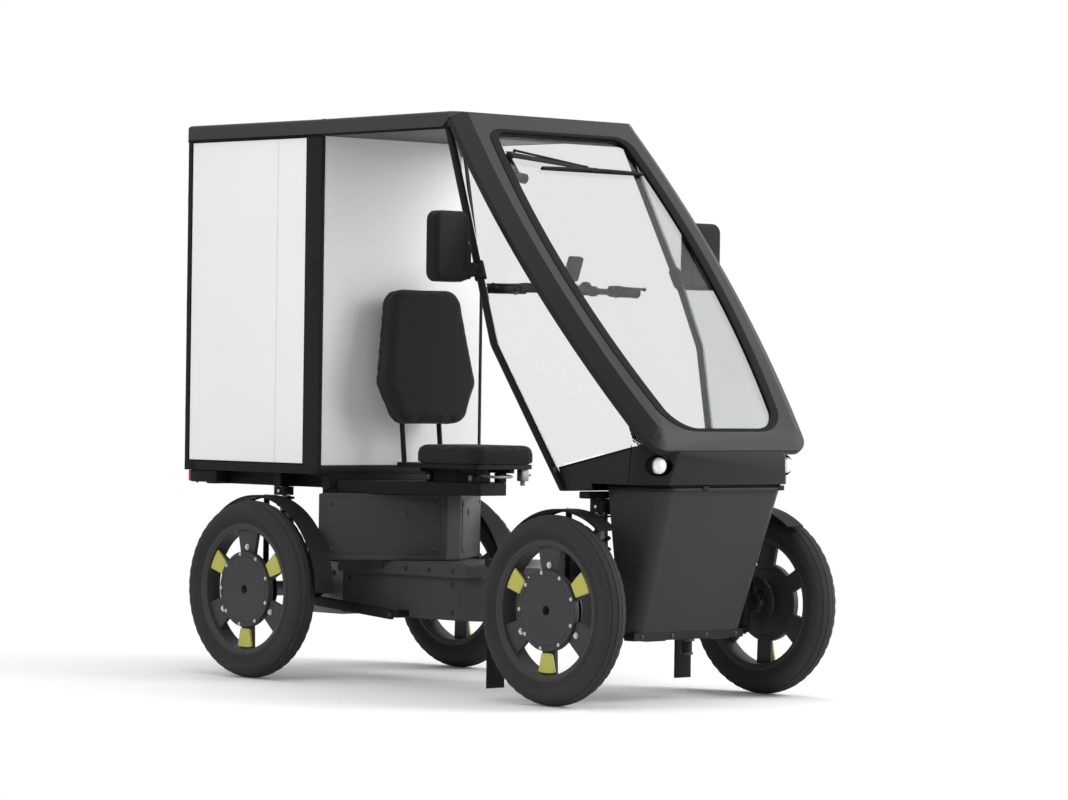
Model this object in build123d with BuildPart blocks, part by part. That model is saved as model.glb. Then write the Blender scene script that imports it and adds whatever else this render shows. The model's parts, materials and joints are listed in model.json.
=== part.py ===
from build123d import *
import os
from math import cos, hypot, radians, sin

os.makedirs("parts", exist_ok=True)

# A four-wheeled pedal cargo bike with a roofed cabin: +X forward, +Y left, +Z up, on the ground
# Sizes are millimetres, and "ahead" distances run forward from the rear axle

# Whole vehicle
wheelbase = 1517
tail_reach = 528
front_overhang = 318
track_half = 495
wheel_radius = 309
nose_reach = wheelbase + front_overhang

# Wheels
tyre_width = 104
bead_radius = 224
bead_width = 70
rim_wall = 18
rim_width = 66
hub_disc_radius = 132
hub_disc_thick = 22
hub_disc_out = 34
spoke_thick = 16
spoke_root_half = 34
spoke_tip_half = 54
accent_spoke_half = 32
accent_thick = 12
accent_angle = 30
accent_root_half = 22
spoke_set_in = 8
accent_half = 31
hub_radius = 34
hub_inner = 52
brake_radius = 88
brake_thick = 4
brake_gap = 5
caliper_length = 54
caliper_height = 52
caliper_wall = 10
bracket_length = 100
bracket_thick = 12
bracket_height = 36
stub_radius = 12
running_gap = 0.05

# Steered uprights
kingpin_y = 400
kingpin_radius = 10
upright_radius = 21
upright_height = 150
steering_arm = 110
steering_arm_width = 22
steering_arm_thick = 14

# Mudguards
guard_gap = 15
guard_thick = 4
guard_width = 80
guard_inset = 54
guard_lip = 8
front_guard_start = 54
rear_guard_end = 188
stay_width = 26
stay_thick = 5
front_flap_low = 36

# Chassis beam
beam_half = 150
beam_front_half = 55
beam_low = 222
beam_high = 370
beam_taper_start = 690
beam_taper_end = 850
ledge_half = 178
ledge_thick = 48
ledge_front = 760
gearbox_length = 180
gearbox_high = 400
axle_tube_radius = 26

# Front frame
cross_length = 170
cross_half = 150
cross_low = 216
cross_high = 404
tower_wall = 46
tower_half = 345
tower_set_back = 20
arm_radius = 8
arm_spread = 140
arm_bush_radius = 14
arm_bush_length = 20
saddle_width = 26
eye_radius = 19
eye_thick = 18
rail_height = 26
tow_radius = 18
tow_length = 52

# Dampers
damper_y = 272
damper_radius = 22
damper_rod_radius = 9

# Box
box_front = 221
box_length = 734
box_half = 386
box_low = 714
roof_low = 1888
roof_thick = 58
box_rail = 31
box_wall = 16
post_front = 84
post_rear = 20
wall_inset = 3
floor_thick = 20
door_gap = 5
door_thick = 18
hinge_radius = 7
hinge_pin_radius = 3
hinge_half = 30
hinge_count = 3
latch_height = 130
latch_width = 34
latch_depth = 22
latch_inset = 44

# Underneath the box
subframe_y = 235
subframe_width = 40
subframe_height = 50
tail_lamp_length = 160
tail_lamp_width = 42
tail_lamp_height = 44
battery_half = 150

# Housing below the seat
housing_front = 500
housing_front_half = 34
housing_high = 650
board_thick = 44
board_rear_half = 300
board_front = 700
board_front_half = 60
board_middle = 560
board_middle_half = 130

# Seat
seat_rear = 418
seat_length = 345
seat_width = 325
seat_thick = 62
seat_top = 820
tray_thick = 16
back_ahead = 331
back_width = 450
back_height = 490
back_thick = 68
back_low = 880
back_corner = 70
back_lean = 6
stalk_half = 87
stalk_radius = 9
slide_half = 80
slide_length = 120

# Roof and windscreen
roof_front = 948
bevel_width = 57
bevel_depth = 31
screen_half_top = box_half + 48
screen_half_wide = box_half + 86
screen_half_low = box_half - 22
screen_wide_at = 530
screen_back = 6
screen_past = 47
screen_drop = 1061
roof_front_half = screen_half_top + 4
hoop_thick = 52
hoop_width = 134
hoop_corner = 80
pane_top = 80
sill_width = 66
pane_corner = 90
pane_corner_top = 45
pane_depth = 10
pane_lap = 12
pocket_inset = 66
glass_thick = 5

# Wiper
wiper_y = 292
wiper_down = 190
wiper_drop = 46
wiper_reach = 70
wiper_blade = 480
wiper_motor_width = 46
wiper_motor_height = 80

# Side tubes and panes
tube_radius = 14
side_pane_thick = 4
pane_gap = 1.4
pane_seat = 40
tube_bend = 70
seat_gap = 0.3

# Nose
nose_rear_top = nose_reach - 444
nose_rear_low = nose_reach - 404
nose_rear_top_z = 768
nose_rear_low_z = 691
nose_half = box_half - 26
nose_front_half = box_half - 136
nose_shoulder = nose_reach - 95
nose_wall = 5
deck_overlap = 50
seam_z = 719
lower_front_top = nose_reach - 26
lower_half_top = box_half - 101
lower_front_low = nose_reach - 185
lower_half_low = box_half - 130
lower_depth_top = 263
lower_depth_low = 65
lower_low_z = 234
lower_corner = 46
lamp_y = box_half - 89
lamp_z = 782
lamp_radius = 31
lamp_rim = 4
lamp_depth = 26
lamp_set_back = 45
lamp_round = 12

# Steering
grip_ahead = 1067
grip_z = 1355
column_low_ahead = grip_ahead + 360
column_low_z = 860
column_radius = 16
column_length = 745
bearing_wall = 12
bearing_length = 130
flange_radius = 50
flange_thick = 6
bar_radius = 11
bar_half = 360
grip_radius = 16
grip_length = 125
bar_sweep = 45
display_width = 60
display_height = 85
display_thick = 14
display_neck = 24
display_tilt = 20

# Crank
crank_ahead = 1080
crank_z = 430
crank_arm = 170
crank_arm_y = 84
crank_arm_thick = 14
spindle_radius = 12
drive_radius = 62
pedal_axle_radius = 7
pedal_length = 96
pedal_width = 92
pedal_thick = 26

# Mirrors
mirror_y = 596
mirror_width = 150
mirror_height = 233
mirror_depth = 52
mirror_ahead = 1104
mirror_low = 1370
mirror_arm_share = 0.91
mirror_arm_radius = 15
mirror_corner = 34
mirror_round = 16
mirror_border = 14

rear_x = (tail_reach - nose_reach) / 2
front_x = rear_x + wheelbase
axle_z = wheel_radius


def ahead(distance):
    """Place along the vehicle, from its distance ahead of the rear axle."""
    return rear_x + distance


def save(builder, name):
    """Label a finished piece and write it."""
    builder.part.label = name
    export_step(builder.part, f"parts/{name}.step")


def radial_plane(x, side, angle):
    """Section plane through a wheel's axle: local x runs outward, local y along the radius."""
    turn = radians(angle)
    normal = (side * sin(turn), 0, -side * cos(turn))
    return Plane(origin=(x, side * track_half, axle_z), x_dir=(0, side, 0), z_dir=normal)


def face_plane(x, side, outward):
    """Plane square to a wheel's axle, a distance outward of the wheel's middle, local y up."""
    place = (x, side * (track_half + outward), axle_z)
    return Plane(origin=place, x_dir=(-side, 0, 0), z_dir=(0, side, 0))


def axle_axis(x, side, direction=1):
    return Axis((x, side * track_half, axle_z), (0, direction, 0))


def side_plane(y):
    """Plane facing +Y at a given y, with local x running backward and local y up."""
    return Plane(origin=(0, y, 0), x_dir=(-1, 0, 0), z_dir=(0, 1, 0))


def rounded_bar(start, end, radius, mode=Mode.ADD):
    """Round bar between two points."""
    way = Vector(*end) - Vector(*start)
    with BuildSketch(Plane(origin=start, z_dir=way.normalized())) as section:
        Circle(radius)
    extrude(section.sketch, amount=way.length, mode=mode)


# Wheels: name, axle place, side
wheel_table = [
    ("rear_right", rear_x, -1),
    ("rear_left", rear_x, 1),
    ("front_right", front_x, -1),
    ("front_left", front_x, 1),
]

rim_outer = bead_radius - 0.3
rim_inner = rim_outer - rim_wall
spoke_low = hub_disc_out - hub_disc_thick
disc_back = spoke_low - 2

# Spokes: first angle, half width at the hub and at the rim
spoke_table = [
    (accent_angle + 60, spoke_root_half, spoke_tip_half),
    (accent_angle, spoke_root_half, accent_spoke_half),
]

for name, x, side in wheel_table:
    half = tyre_width / 2
    with BuildPart() as tyre:
        with BuildSketch(radial_plane(x, side, 90)):
            with BuildLine():
                Polyline(
                    (-half + 5, bead_radius + 62),
                    (-half, bead_radius + 36),
                    (-bead_width / 2, bead_radius),
                    (bead_width / 2, bead_radius),
                    (half, bead_radius + 36),
                    (half - 5, bead_radius + 62),
                )
                ThreePointArc(
                    (half - 5, bead_radius + 62), (0, wheel_radius), (-half + 5, bead_radius + 62)
                )
            make_face()
        revolve(axis=axle_axis(x, side))
    save(tyre, f"tyre_{name}")

    with BuildPart() as rim:
        with BuildSketch(radial_plane(x, side, 90)):
            with Locations((0, rim_outer - rim_wall / 2)):
                Rectangle(rim_width, rim_wall)
            with Locations((hub_disc_out - hub_disc_thick / 2, hub_disc_radius / 2)):
                Rectangle(hub_disc_thick, hub_disc_radius)
            with Locations(((disc_back - hub_inner) / 2, hub_radius / 2)):
                Rectangle(disc_back + hub_inner + 4, hub_radius)
            with Locations((-hub_inner + 8, brake_radius / 2)):
                Rectangle(brake_thick, brake_radius)
        revolve(axis=axle_axis(x, side))
        with BuildSketch(face_plane(x, side, spoke_low - spoke_set_in)):
            for start, root_half, tip_half in spoke_table:
                with PolarLocations(0, 3, start_angle=start):
                    Polygon(
                        (hub_disc_radius - 12, -root_half),
                        (rim_inner + 6, -tip_half),
                        (rim_inner + 6, tip_half),
                        (hub_disc_radius - 12, root_half),
                        align=None,
                    )
        extrude(amount=spoke_thick)
        with BuildSketch(face_plane(x, side, -hub_inner - 5)):
            Circle(stub_radius + running_gap)
        extrude(amount=hub_inner + 13, mode=Mode.SUBTRACT)
    save(rim, f"rim_{name}")

    with BuildPart() as accents:
        with BuildSketch(face_plane(x, side, spoke_low - spoke_set_in + spoke_thick)):
            with PolarLocations(0, 3, start_angle=accent_angle):
                Polygon(
                    (hub_disc_radius + 3, -accent_root_half),
                    (rim_inner - 4, -accent_half),
                    (rim_inner - 4, accent_half),
                    (hub_disc_radius + 3, accent_root_half),
                    align=None,
                )
        extrude(amount=accent_thick)
    save(accents, f"wheel_accents_{name}")

guard_inner = wheel_radius + guard_gap


def brake_caliper(x, side):
    """Caliper round the brake disc behind the axle, on a bracket from the wheel's carrier."""
    disc_y = track_half - hub_inner + 8
    caliper_half = brake_thick / 2 + brake_gap + caliper_wall
    with BuildSketch(Plane.XY.offset(axle_z - caliper_height / 2)) as section:
        with Locations((x - brake_radius + 10, side * disc_y)):
            Rectangle(caliper_length, 2 * caliper_half)
        with Locations((x - brake_radius + 22, side * disc_y)):
            Rectangle(caliper_length, brake_thick + 2 * brake_gap, mode=Mode.SUBTRACT)
    extrude(section.sketch, amount=caliper_height)
    with BuildSketch(Plane.XY.offset(axle_z - bracket_height / 2)) as bracket:
        with Locations((x - bracket_length / 2, side * (disc_y - caliper_half - bracket_thick / 2 + 2))):
            Rectangle(bracket_length, bracket_thick)
    extrude(bracket.sketch, amount=bracket_height)


def guard_strip(x, side, start, end):
    """Mudguard arc from one angle to another, measured upward from straight ahead."""
    with BuildSketch(radial_plane(x, side, start)) as section:
        with Locations((-guard_inset, guard_inner + guard_thick / 2)):
            Rectangle(guard_width, guard_thick)
        for edge in (-1, 1):
            lip_y = edge * (guard_width - guard_thick) / 2 - guard_inset
            with Locations((lip_y, guard_inner + guard_thick - guard_lip / 2)):
                Rectangle(guard_thick, guard_lip)
    revolve(section.sketch, axis=axle_axis(x, side, -1), revolution_arc=end - start)


# Steered uprights, each with its stub axle, and their mudguards
stub_end = 3
upright_low = axle_z - upright_height / 2
for name, side in (("right", -1), ("left", 1)):
    with BuildPart() as upright:
        with BuildSketch(Plane.XY.offset(upright_low)):
            with Locations((front_x, side * kingpin_y)):
                Circle(upright_radius)
        extrude(amount=upright_height)
        with BuildSketch(Plane(origin=(front_x, side * kingpin_y, axle_z), z_dir=(0, side, 0))):
            Circle(upright_radius + 5)
        extrude(amount=track_half - kingpin_y - hub_inner - 8)
        with BuildSketch(Plane(origin=(front_x, side * kingpin_y, axle_z), z_dir=(0, side, 0))):
            Circle(stub_radius)
        extrude(amount=track_half - kingpin_y + stub_end)
        with BuildSketch(Plane.XY.offset(upright_low + 6)):
            with Locations((front_x - steering_arm / 2, side * kingpin_y)):
                SlotOverall(steering_arm + steering_arm_width, steering_arm_width)
        extrude(amount=steering_arm_thick)
        brake_caliper(front_x, side)
        with BuildSketch(Plane.XY.offset(upright_low - 1)):
            with Locations((front_x, side * kingpin_y)):
                Circle(kingpin_radius + running_gap)
        extrude(amount=upright_height + 2, mode=Mode.SUBTRACT)
    save(upright, f"upright_{name}")

stay_y = kingpin_y + upright_radius + 7 + stay_thick / 2
stay_top = axle_z + guard_inner + guard_thick / 2
for name, side in (("right", -1), ("left", 1)):
    with BuildPart() as guard:
        guard_strip(front_x, side, front_guard_start, 180)
        with BuildSketch(Plane.XY.offset(front_flap_low)):
            with Locations((front_x - guard_inner - guard_thick / 2, side * (track_half - guard_inset))):
                Rectangle(guard_thick, guard_width)
        extrude(amount=axle_z - front_flap_low + 1)
        stay_low = upright_low + upright_height - 44
        with BuildSketch(side_plane(side * stay_y)):
            with Locations((-front_x, (stay_low + stay_top) / 2)):
                Rectangle(stay_width, stay_top - stay_low)
        extrude(amount=stay_thick / 2, both=True)
        foot_start = kingpin_y + upright_radius
        foot_end = stay_y + stay_thick / 2
        with BuildSketch(Plane.XY.offset(stay_low)):
            with Locations((front_x, side * (foot_start + foot_end) / 2)):
                Rectangle(stay_width, foot_end - foot_start)
        extrude(amount=stay_thick)
    save(guard, f"mudguard_front_{name}")

# Chassis beam with its wider ledge on top
with BuildPart() as main_beam:
    gearbox_front = gearbox_length / 2
    with BuildSketch(Plane.XY.offset(beam_low)):
        Polygon(
            (ahead(gearbox_front), -beam_half),
            (ahead(beam_taper_start), -beam_half),
            (ahead(beam_taper_end), -beam_front_half),
            (front_x - cross_length / 2, -beam_front_half),
            (front_x - cross_length / 2, beam_front_half),
            (ahead(beam_taper_end), beam_front_half),
            (ahead(beam_taper_start), beam_half),
            (ahead(gearbox_front), beam_half),
            align=None,
        )
    extrude(amount=beam_high - beam_low)
    with BuildSketch(Plane.XY.offset(beam_high)):
        with Locations((ahead((gearbox_front + ledge_front) / 2), 0)):
            Rectangle(ledge_front - gearbox_front, 2 * ledge_half)
    extrude(amount=ledge_thick)
save(main_beam, "main_beam")

# Rear axle: gearbox, axle tubes and the stubs that carry the wheels
with BuildPart() as rear_axle:
    with BuildSketch(Plane.XY.offset(cross_low)):
        with Locations((rear_x, 0)):
            Rectangle(gearbox_length, 2 * beam_half)
    extrude(amount=gearbox_high - cross_low)
    with BuildSketch(Plane(origin=(rear_x, 0, axle_z), z_dir=(0, 1, 0))):
        Circle(axle_tube_radius)
    extrude(amount=track_half - hub_inner - 8, both=True)
    with BuildSketch(Plane(origin=(rear_x, 0, axle_z), z_dir=(0, 1, 0))):
        Circle(stub_radius)
    extrude(amount=track_half + stub_end, both=True)
    for side in (-1, 1):
        brake_caliper(rear_x, side)
save(rear_axle, "rear_axle")

# Front frame: cross member and the tower that carries the nose and dampers
tower_x = front_x - tower_set_back
with BuildPart() as front_frame:
    with BuildSketch(Plane.XY.offset(cross_low)):
        with Locations((front_x, 0)):
            Rectangle(cross_length, 2 * cross_half)
    extrude(amount=cross_high - cross_low)
    with BuildSketch(Plane.XY.offset(cross_high)):
        with Locations((tower_x, cross_half - tower_wall / 2), (tower_x, tower_wall / 2 - cross_half)):
            Rectangle(tower_wall, tower_wall)
    extrude(amount=nose_rear_low_z - cross_high)
    with BuildSketch(Plane.XY.offset(nose_rear_low_z - tower_wall / 2)):
        with Locations((tower_x, 0)):
            Rectangle(tower_wall, 2 * tower_half)
    extrude(amount=tower_wall / 2)
save(front_frame, "front_frame")

# Front arms: two wishbones a side, with the kingpin between their eyes
pin_gap = 4
eye_low = upright_low - pin_gap - eye_thick
eye_high = upright_low + upright_height + pin_gap
with BuildPart() as front_arms:
    for side in (-1, 1):
        for eye_z in (eye_low, eye_high):
            with BuildSketch(Plane.XY.offset(eye_z)):
                with Locations((front_x, side * kingpin_y)):
                    Circle(eye_radius)
            extrude(amount=eye_thick)
            arm_z = eye_z + eye_thick / 2
            bush_y = side * (cross_half + arm_bush_radius + seat_gap)
            for spread in (-1, 1):
                bush_x = front_x + spread * arm_spread / 2
                rounded_bar((bush_x, bush_y, arm_z), (front_x, side * kingpin_y, arm_z), arm_radius)
                bush_start = (bush_x - arm_bush_length / 2, bush_y, arm_z)
                bush_end = (bush_x + arm_bush_length / 2, bush_y, arm_z)
                rounded_bar(bush_start, bush_end, arm_bush_radius)
        with BuildSketch(Plane.XY.offset(eye_low)):
            with Locations((front_x, side * kingpin_y)):
                Circle(kingpin_radius)
        extrude(amount=eye_high - eye_low + eye_thick)
        with BuildSketch(Plane.XY.offset(eye_low + eye_thick / 2 - arm_radius)):
            with Locations((front_x, side * damper_y)):
                Rectangle(arm_spread * 0.6, saddle_width)
        extrude(amount=2 * arm_radius)
save(front_arms, "front_arms")

# Rail below the nose, with the towing stub
with BuildPart() as front_rail:
    rail_rear = front_x + cross_length / 2
    rail_depth = ahead(lower_front_low) - rail_rear
    rail_x = rail_rear + rail_depth / 2
    with BuildSketch(Plane.XY.offset(lower_low_z - rail_height)):
        with Locations((rail_x, 0)):
            Rectangle(rail_depth, 2 * lower_half_low)
    extrude(amount=rail_height)
    with BuildSketch(Plane.XY.offset(lower_low_z - rail_height - tow_length)):
        with Locations((rail_x + rail_depth / 4, 0)):
            Circle(tow_radius)
    extrude(amount=tow_length)
save(front_rail, "front_rail")

# Dampers: foot place, head place
damper_table = [
    (
        (front_x, damper_y, eye_low + eye_thick / 2 + arm_radius),
        (tower_x + 6, damper_y, nose_rear_low_z - tower_wall / 2),
    ),
    (
        (rear_x, damper_y + 30, axle_z + axle_tube_radius),
        (rear_x - 60, damper_y + 30, box_low - subframe_height),
    ),
]
with BuildPart() as dampers:
    for foot, head in damper_table:
        for side in (-1, 1):
            lean_gap = damper_rod_radius * abs(head[0] - foot[0]) / (head[2] - foot[2]) + seat_gap
            low = Vector(foot[0], side * foot[1], foot[2] + lean_gap)
            high = Vector(head[0], side * head[1], head[2] - lean_gap)
            direction = (high - low).normalized()
            length = (high - low).length
            with BuildSketch(Plane(origin=low, z_dir=direction)):
                Circle(damper_rod_radius)
            extrude(amount=length)
            with BuildSketch(Plane(origin=low + direction * (length * 0.3), z_dir=direction)):
                Circle(damper_radius)
            extrude(amount=length * 0.6)
save(dampers, "dampers")

# Subframe below the box
subframe_low = box_low - subframe_height
subframe_rear = box_front - box_length + 60
with BuildPart() as subframe:
    with BuildSketch(Plane.XY.offset(subframe_low)):
        for side in (-1, 1):
            with Locations((ahead((box_front + subframe_rear) / 2), side * subframe_y)):
                Rectangle(box_front - subframe_rear, subframe_width)
        for place in (subframe_rear + 20, -60, box_front - 20):
            with Locations((ahead(place), 0)):
                Rectangle(subframe_width, 2 * (box_half - tail_lamp_width - 10))
    extrude(amount=subframe_height)
    with BuildSketch(Plane.XY.offset(gearbox_high)):
        with Locations((rear_x, beam_half - 30), (rear_x, 30 - beam_half)):
            Rectangle(subframe_width * 2, subframe_width)
    extrude(amount=subframe_low - gearbox_high)
    with BuildSketch(Plane.XY.offset(subframe_low)):
        with Locations((rear_x, 0)):
            Rectangle(subframe_width * 2, 2 * subframe_y)
    extrude(amount=subframe_height / 2)
save(subframe, "box_subframe")

# Rear lamps under the box's back corners
with BuildPart() as tail_lamps:
    lamp_x = ahead(box_front - box_length + tail_lamp_length / 2 + 14)
    with BuildSketch(Plane.XY.offset(box_low - tail_lamp_height)):
        for side in (-1, 1):
            with Locations((lamp_x, side * (box_half - tail_lamp_width / 2 - 4))):
                RectangleRounded(tail_lamp_length, tail_lamp_width, 8)
    extrude(amount=tail_lamp_height)
save(tail_lamps, "tail_lamps")

# Battery between the axle and the seat
with BuildPart() as battery:
    with BuildSketch(Plane.XY.offset(beam_high + ledge_thick)):
        with Locations((ahead((gearbox_length / 2 + box_front) / 2 + 5), 0)):
            Rectangle(box_front - gearbox_length / 2 - 12, 2 * battery_half)
    extrude(amount=subframe_low - beam_high - ledge_thick)
save(battery, "battery_case")

# Housing below the seat, narrowing forward
with BuildPart() as housing:
    housing_low = beam_high + ledge_thick
    with BuildSketch(Plane.XY.offset(housing_low)):
        Polygon(
            (ahead(box_front) + 2, -box_half),
            (ahead(housing_front), -housing_front_half),
            (ahead(housing_front), housing_front_half),
            (ahead(box_front) + 2, box_half),
            align=None,
        )
    extrude(amount=housing_high - housing_low)
save(housing, "seat_housing")

# Seat frame: tray, slide block and the stalks of the backrest
tray_top = seat_top - seat_thick
lean = radians(back_lean)
back_plane = Plane(
    origin=(ahead(back_ahead), 0, back_low), x_dir=(0, 1, 0), z_dir=(cos(lean), 0, sin(lean))
)
with BuildPart() as seat_frame:
    with BuildSketch(Plane.XY.offset(tray_top - tray_thick)):
        with Locations((ahead(seat_rear + seat_length / 2 - 20), 0)):
            RectangleRounded(seat_length + 20, seat_width - 30, 30)
        with Locations((ahead((back_ahead + seat_rear) / 2), 0)):
            Rectangle(seat_rear - back_ahead + 40, 2 * stalk_half + 26)
    extrude(amount=tray_thick)
    with BuildSketch(Plane.XY.offset(housing_high + board_thick)):
        with Locations((ahead(seat_rear + slide_length), 0)):
            Rectangle(slide_length, 2 * slide_half)
    extrude(amount=tray_top - tray_thick - housing_high - board_thick)
    with BuildSketch(Plane.XY.offset(housing_high)):
        Polygon(
            (ahead(box_front) + 2, -board_rear_half),
            (ahead(board_middle), -board_middle_half),
            (ahead(board_front), -board_front_half),
            (ahead(board_front), board_front_half),
            (ahead(board_middle), board_middle_half),
            (ahead(box_front) + 2, board_rear_half),
            align=None,
        )
    extrude(amount=board_thick)
    for side in (-1, 1):
        ends = [
            back_plane.from_local_coords(Vector(side * stalk_half, height, -stalk_radius - seat_gap))
            for height in (tray_top - tray_thick / 2 - back_low, back_height * 0.35)
        ]
        rounded_bar(tuple(ends[0]), tuple(ends[1]), stalk_radius)
save(seat_frame, "seat_frame")

with BuildPart() as seat_pad:
    with BuildSketch(Plane.XY.offset(tray_top + 0.3)):
        with Locations((ahead(seat_rear + seat_length / 2 + 14), 0)):
            RectangleRounded(seat_length, seat_width, 60)
    extrude(amount=seat_thick - 0.3)
    fillet(seat_pad.faces().sort_by(Axis.Z)[-1].edges(), 24)
save(seat_pad, "seat_pad")

with BuildPart() as backrest:
    with BuildSketch(back_plane) as back_sketch:
        Polygon(
            (-back_width * 0.34, 0),
            (back_width * 0.34, 0),
            (back_width * 0.5, back_height * 0.3),
            (back_width * 0.36, back_height),
            (-back_width * 0.36, back_height),
            (-back_width * 0.5, back_height * 0.3),
            align=None,
        )
        fillet(back_sketch.vertices(), back_corner)
    extrude(amount=back_thick)
    fillet(backrest.faces().sort_by(Axis.X)[-1].edges(), 20)
save(backrest, "backrest")

# Box frame: bottom ring and four posts, with the fixed halves of the door hinges
box_rear = box_front - box_length
box_floor_top = box_low + box_rail
pivot_x = ahead(box_rear) - hinge_radius - 1
pivot_y = box_half - post_rear + 5
door_low = box_floor_top + door_gap
door_high = roof_low - door_gap
hinge_places = [
    door_low + (door_high - door_low) * (i + 0.5) / hinge_count for i in range(hinge_count)
]
with BuildPart() as box_frame:
    with BuildSketch(Plane.XY.offset(box_low)):
        with Locations((ahead((box_front + box_rear) / 2), 0)):
            RectangleRounded(box_length, 2 * box_half, 10)
            Rectangle(box_length - 2 * post_rear, 2 * (box_half - box_wall * 2), mode=Mode.SUBTRACT)
    extrude(amount=box_rail)
    with BuildSketch(Plane.XY.offset(box_floor_top)):
        for side in (-1, 1):
            with Locations((ahead(box_front - post_front / 2), side * (box_half - box_wall / 2))):
                RectangleRounded(post_front, box_wall, 6)
            with Locations((ahead(box_rear + post_rear / 2), side * (box_half - post_rear / 2))):
                Rectangle(post_rear, post_rear)
    extrude(amount=roof_low - box_floor_top)
    for side in (-1, 1):
        for place in hinge_places:
            with BuildSketch(Plane.XY.offset(place - hinge_half)):
                with Locations((pivot_x, side * pivot_y)):
                    Circle(hinge_radius)
                with Locations((ahead(box_rear) - 1.5, side * (pivot_y + 6))):
                    Rectangle(3, 14)
            extrude(amount=hinge_half)
            with BuildSketch(Plane.XY.offset(place - hinge_half)):
                with Locations((pivot_x, side * pivot_y)):
                    Circle(hinge_pin_radius)
            extrude(amount=2 * hinge_half)
save(box_frame, "box_frame")

# Box walls and floor
wall_low = box_floor_top
wall_x = ahead((box_rear + post_rear + box_front - post_front) / 2)
wall_y = box_half - (box_wall + wall_inset) / 2
for name, side in (("right", -1), ("left", 1)):
    with BuildPart() as wall:
        with BuildSketch(Plane.XY.offset(wall_low)):
            with Locations((wall_x, side * wall_y)):
                Rectangle(box_length - post_rear - post_front, box_wall - wall_inset)
        extrude(amount=roof_low - wall_low)
    save(wall, f"box_wall_{name}")

with BuildPart() as front_wall:
    with BuildSketch(Plane.XY.offset(wall_low)):
        with Locations((ahead(box_front - box_wall / 2 - 2), 0)):
            Rectangle(box_wall, 2 * (box_half - box_wall))
    extrude(amount=roof_low - wall_low)
save(front_wall, "box_wall_front")

with BuildPart() as box_floor:
    with BuildSketch(Plane.XY.offset(box_low + 4)):
        with Locations((ahead((box_front + box_rear) / 2), 0)):
            Rectangle(box_length - 2 * post_rear, 2 * (box_half - box_wall * 2))
    extrude(amount=floor_thick)
save(box_floor, "box_floor")

# Back doors, inset between the back posts, with the moving halves of their hinges
door_width = box_half - post_rear - 2 * door_gap + door_gap / 2
for name, side in (("right", -1), ("left", 1)):
    with BuildPart() as door:
        with BuildSketch(Plane.XY.offset(door_low)):
            with Locations((ahead(box_rear) + door_thick / 2, side * (door_gap / 2 + door_width / 2))):
                Rectangle(door_thick, door_width)
        extrude(amount=door_high - door_low)
        for place in hinge_places:
            with BuildSketch(Plane.XY.offset(place + 0.3)):
                with Locations((pivot_x, side * pivot_y)):
                    Circle(hinge_radius)
                with Locations((ahead(box_rear) - 1.5, side * (pivot_y - 45))):
                    Rectangle(3, 90)
                with Locations((pivot_x, side * pivot_y)):
                    Circle(hinge_pin_radius + running_gap, mode=Mode.SUBTRACT)
            extrude(amount=hinge_half)
        if name == "right":
            with BuildSketch(Plane.XY.offset((door_low + door_high - latch_height) / 2)):
                with Locations((ahead(box_rear) - latch_depth / 2, side * latch_inset)):
                    RectangleRounded(latch_depth, latch_width, 6)
                    Rectangle(latch_depth - 12, latch_width + 1, mode=Mode.SUBTRACT)
            extrude(amount=latch_height)
            for latch_end in (-1, 1):
                latch_z = (door_low + door_high + latch_end * (latch_height - latch_width)) / 2
                with BuildSketch(Plane.XY.offset(latch_z - latch_width / 2)):
                    with Locations((ahead(box_rear) - latch_depth / 2, side * latch_inset)):
                        Rectangle(latch_depth - 6, latch_width - 8)
                extrude(amount=latch_width)
    save(door, f"back_door_{name}")

# Roof: over the box and widening over the cabin, mitred to the windscreen frame
screen_run = nose_reach - roof_front - screen_back
screen_slope = hypot(screen_run, screen_drop)
screen_length = screen_slope + screen_past
pane_low = screen_length - sill_width
slope_cos = screen_run / screen_slope
slope_sin = screen_drop / screen_slope
screen_top = (ahead(roof_front), 0, roof_low + roof_thick)


def screen_plane(depth=0):
    """Windscreen plane, a depth behind its outer face: local x is +Y, local y up the slope."""
    place = (screen_top[0] - slope_sin * depth, 0, screen_top[2] - slope_cos * depth)
    return Plane(origin=place, x_dir=(0, 1, 0), z_dir=(slope_sin, 0, slope_cos))


def screen_form(depth, inset, top, low, corner_top, corner_low):
    """Outline on the windscreen plane, its bowed sides inset from the frame's."""
    half_top = screen_half_top - inset
    half_wide = screen_half_wide - inset
    half_low = screen_half_low - inset
    with BuildSketch(screen_plane(depth)) as form:
        with BuildLine():
            for side in (-1, 1):
                ThreePointArc(
                    (side * half_top, -top),
                    (side * half_wide, -screen_wide_at),
                    (side * half_low, -low),
                )
            Line((-half_top, -top), (half_top, -top))
            Line((-half_low, -low), (half_low, -low))
        make_face()
        fillet(form.vertices().group_by(Axis.Y)[0], corner_low)
        if corner_top:
            fillet(form.vertices().group_by(Axis.Y)[-1], corner_top)
    return form.sketch


with BuildPart() as roof:
    with BuildSketch(Plane.XY.offset(roof_low)):
        Polygon(
            (ahead(box_rear), -box_half - 3),
            (ahead(box_front), -box_half - 3),
            (ahead(roof_front), -roof_front_half),
            (ahead(roof_front), roof_front_half),
            (ahead(box_front), box_half + 3),
            (ahead(box_rear), box_half + 3),
            align=None,
        )
    extrude(amount=roof_thick)
    fillet(roof.faces().sort_by(Axis.Z)[-1].edges().filter_by(Plane.XY), 12)
    with BuildSketch(Plane.XZ):
        Polygon(
            (screen_top[0] + 1, screen_top[2] + 1),
            (screen_top[0], screen_top[2]),
            (screen_top[0] - slope_sin * 100, screen_top[2] - slope_cos * 100),
            (screen_top[0] + 1, screen_top[2] - slope_cos * 100),
            align=None,
        )
    extrude(amount=roof_front_half + 20, both=True, mode=Mode.SUBTRACT)
save(roof, "roof")

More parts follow.
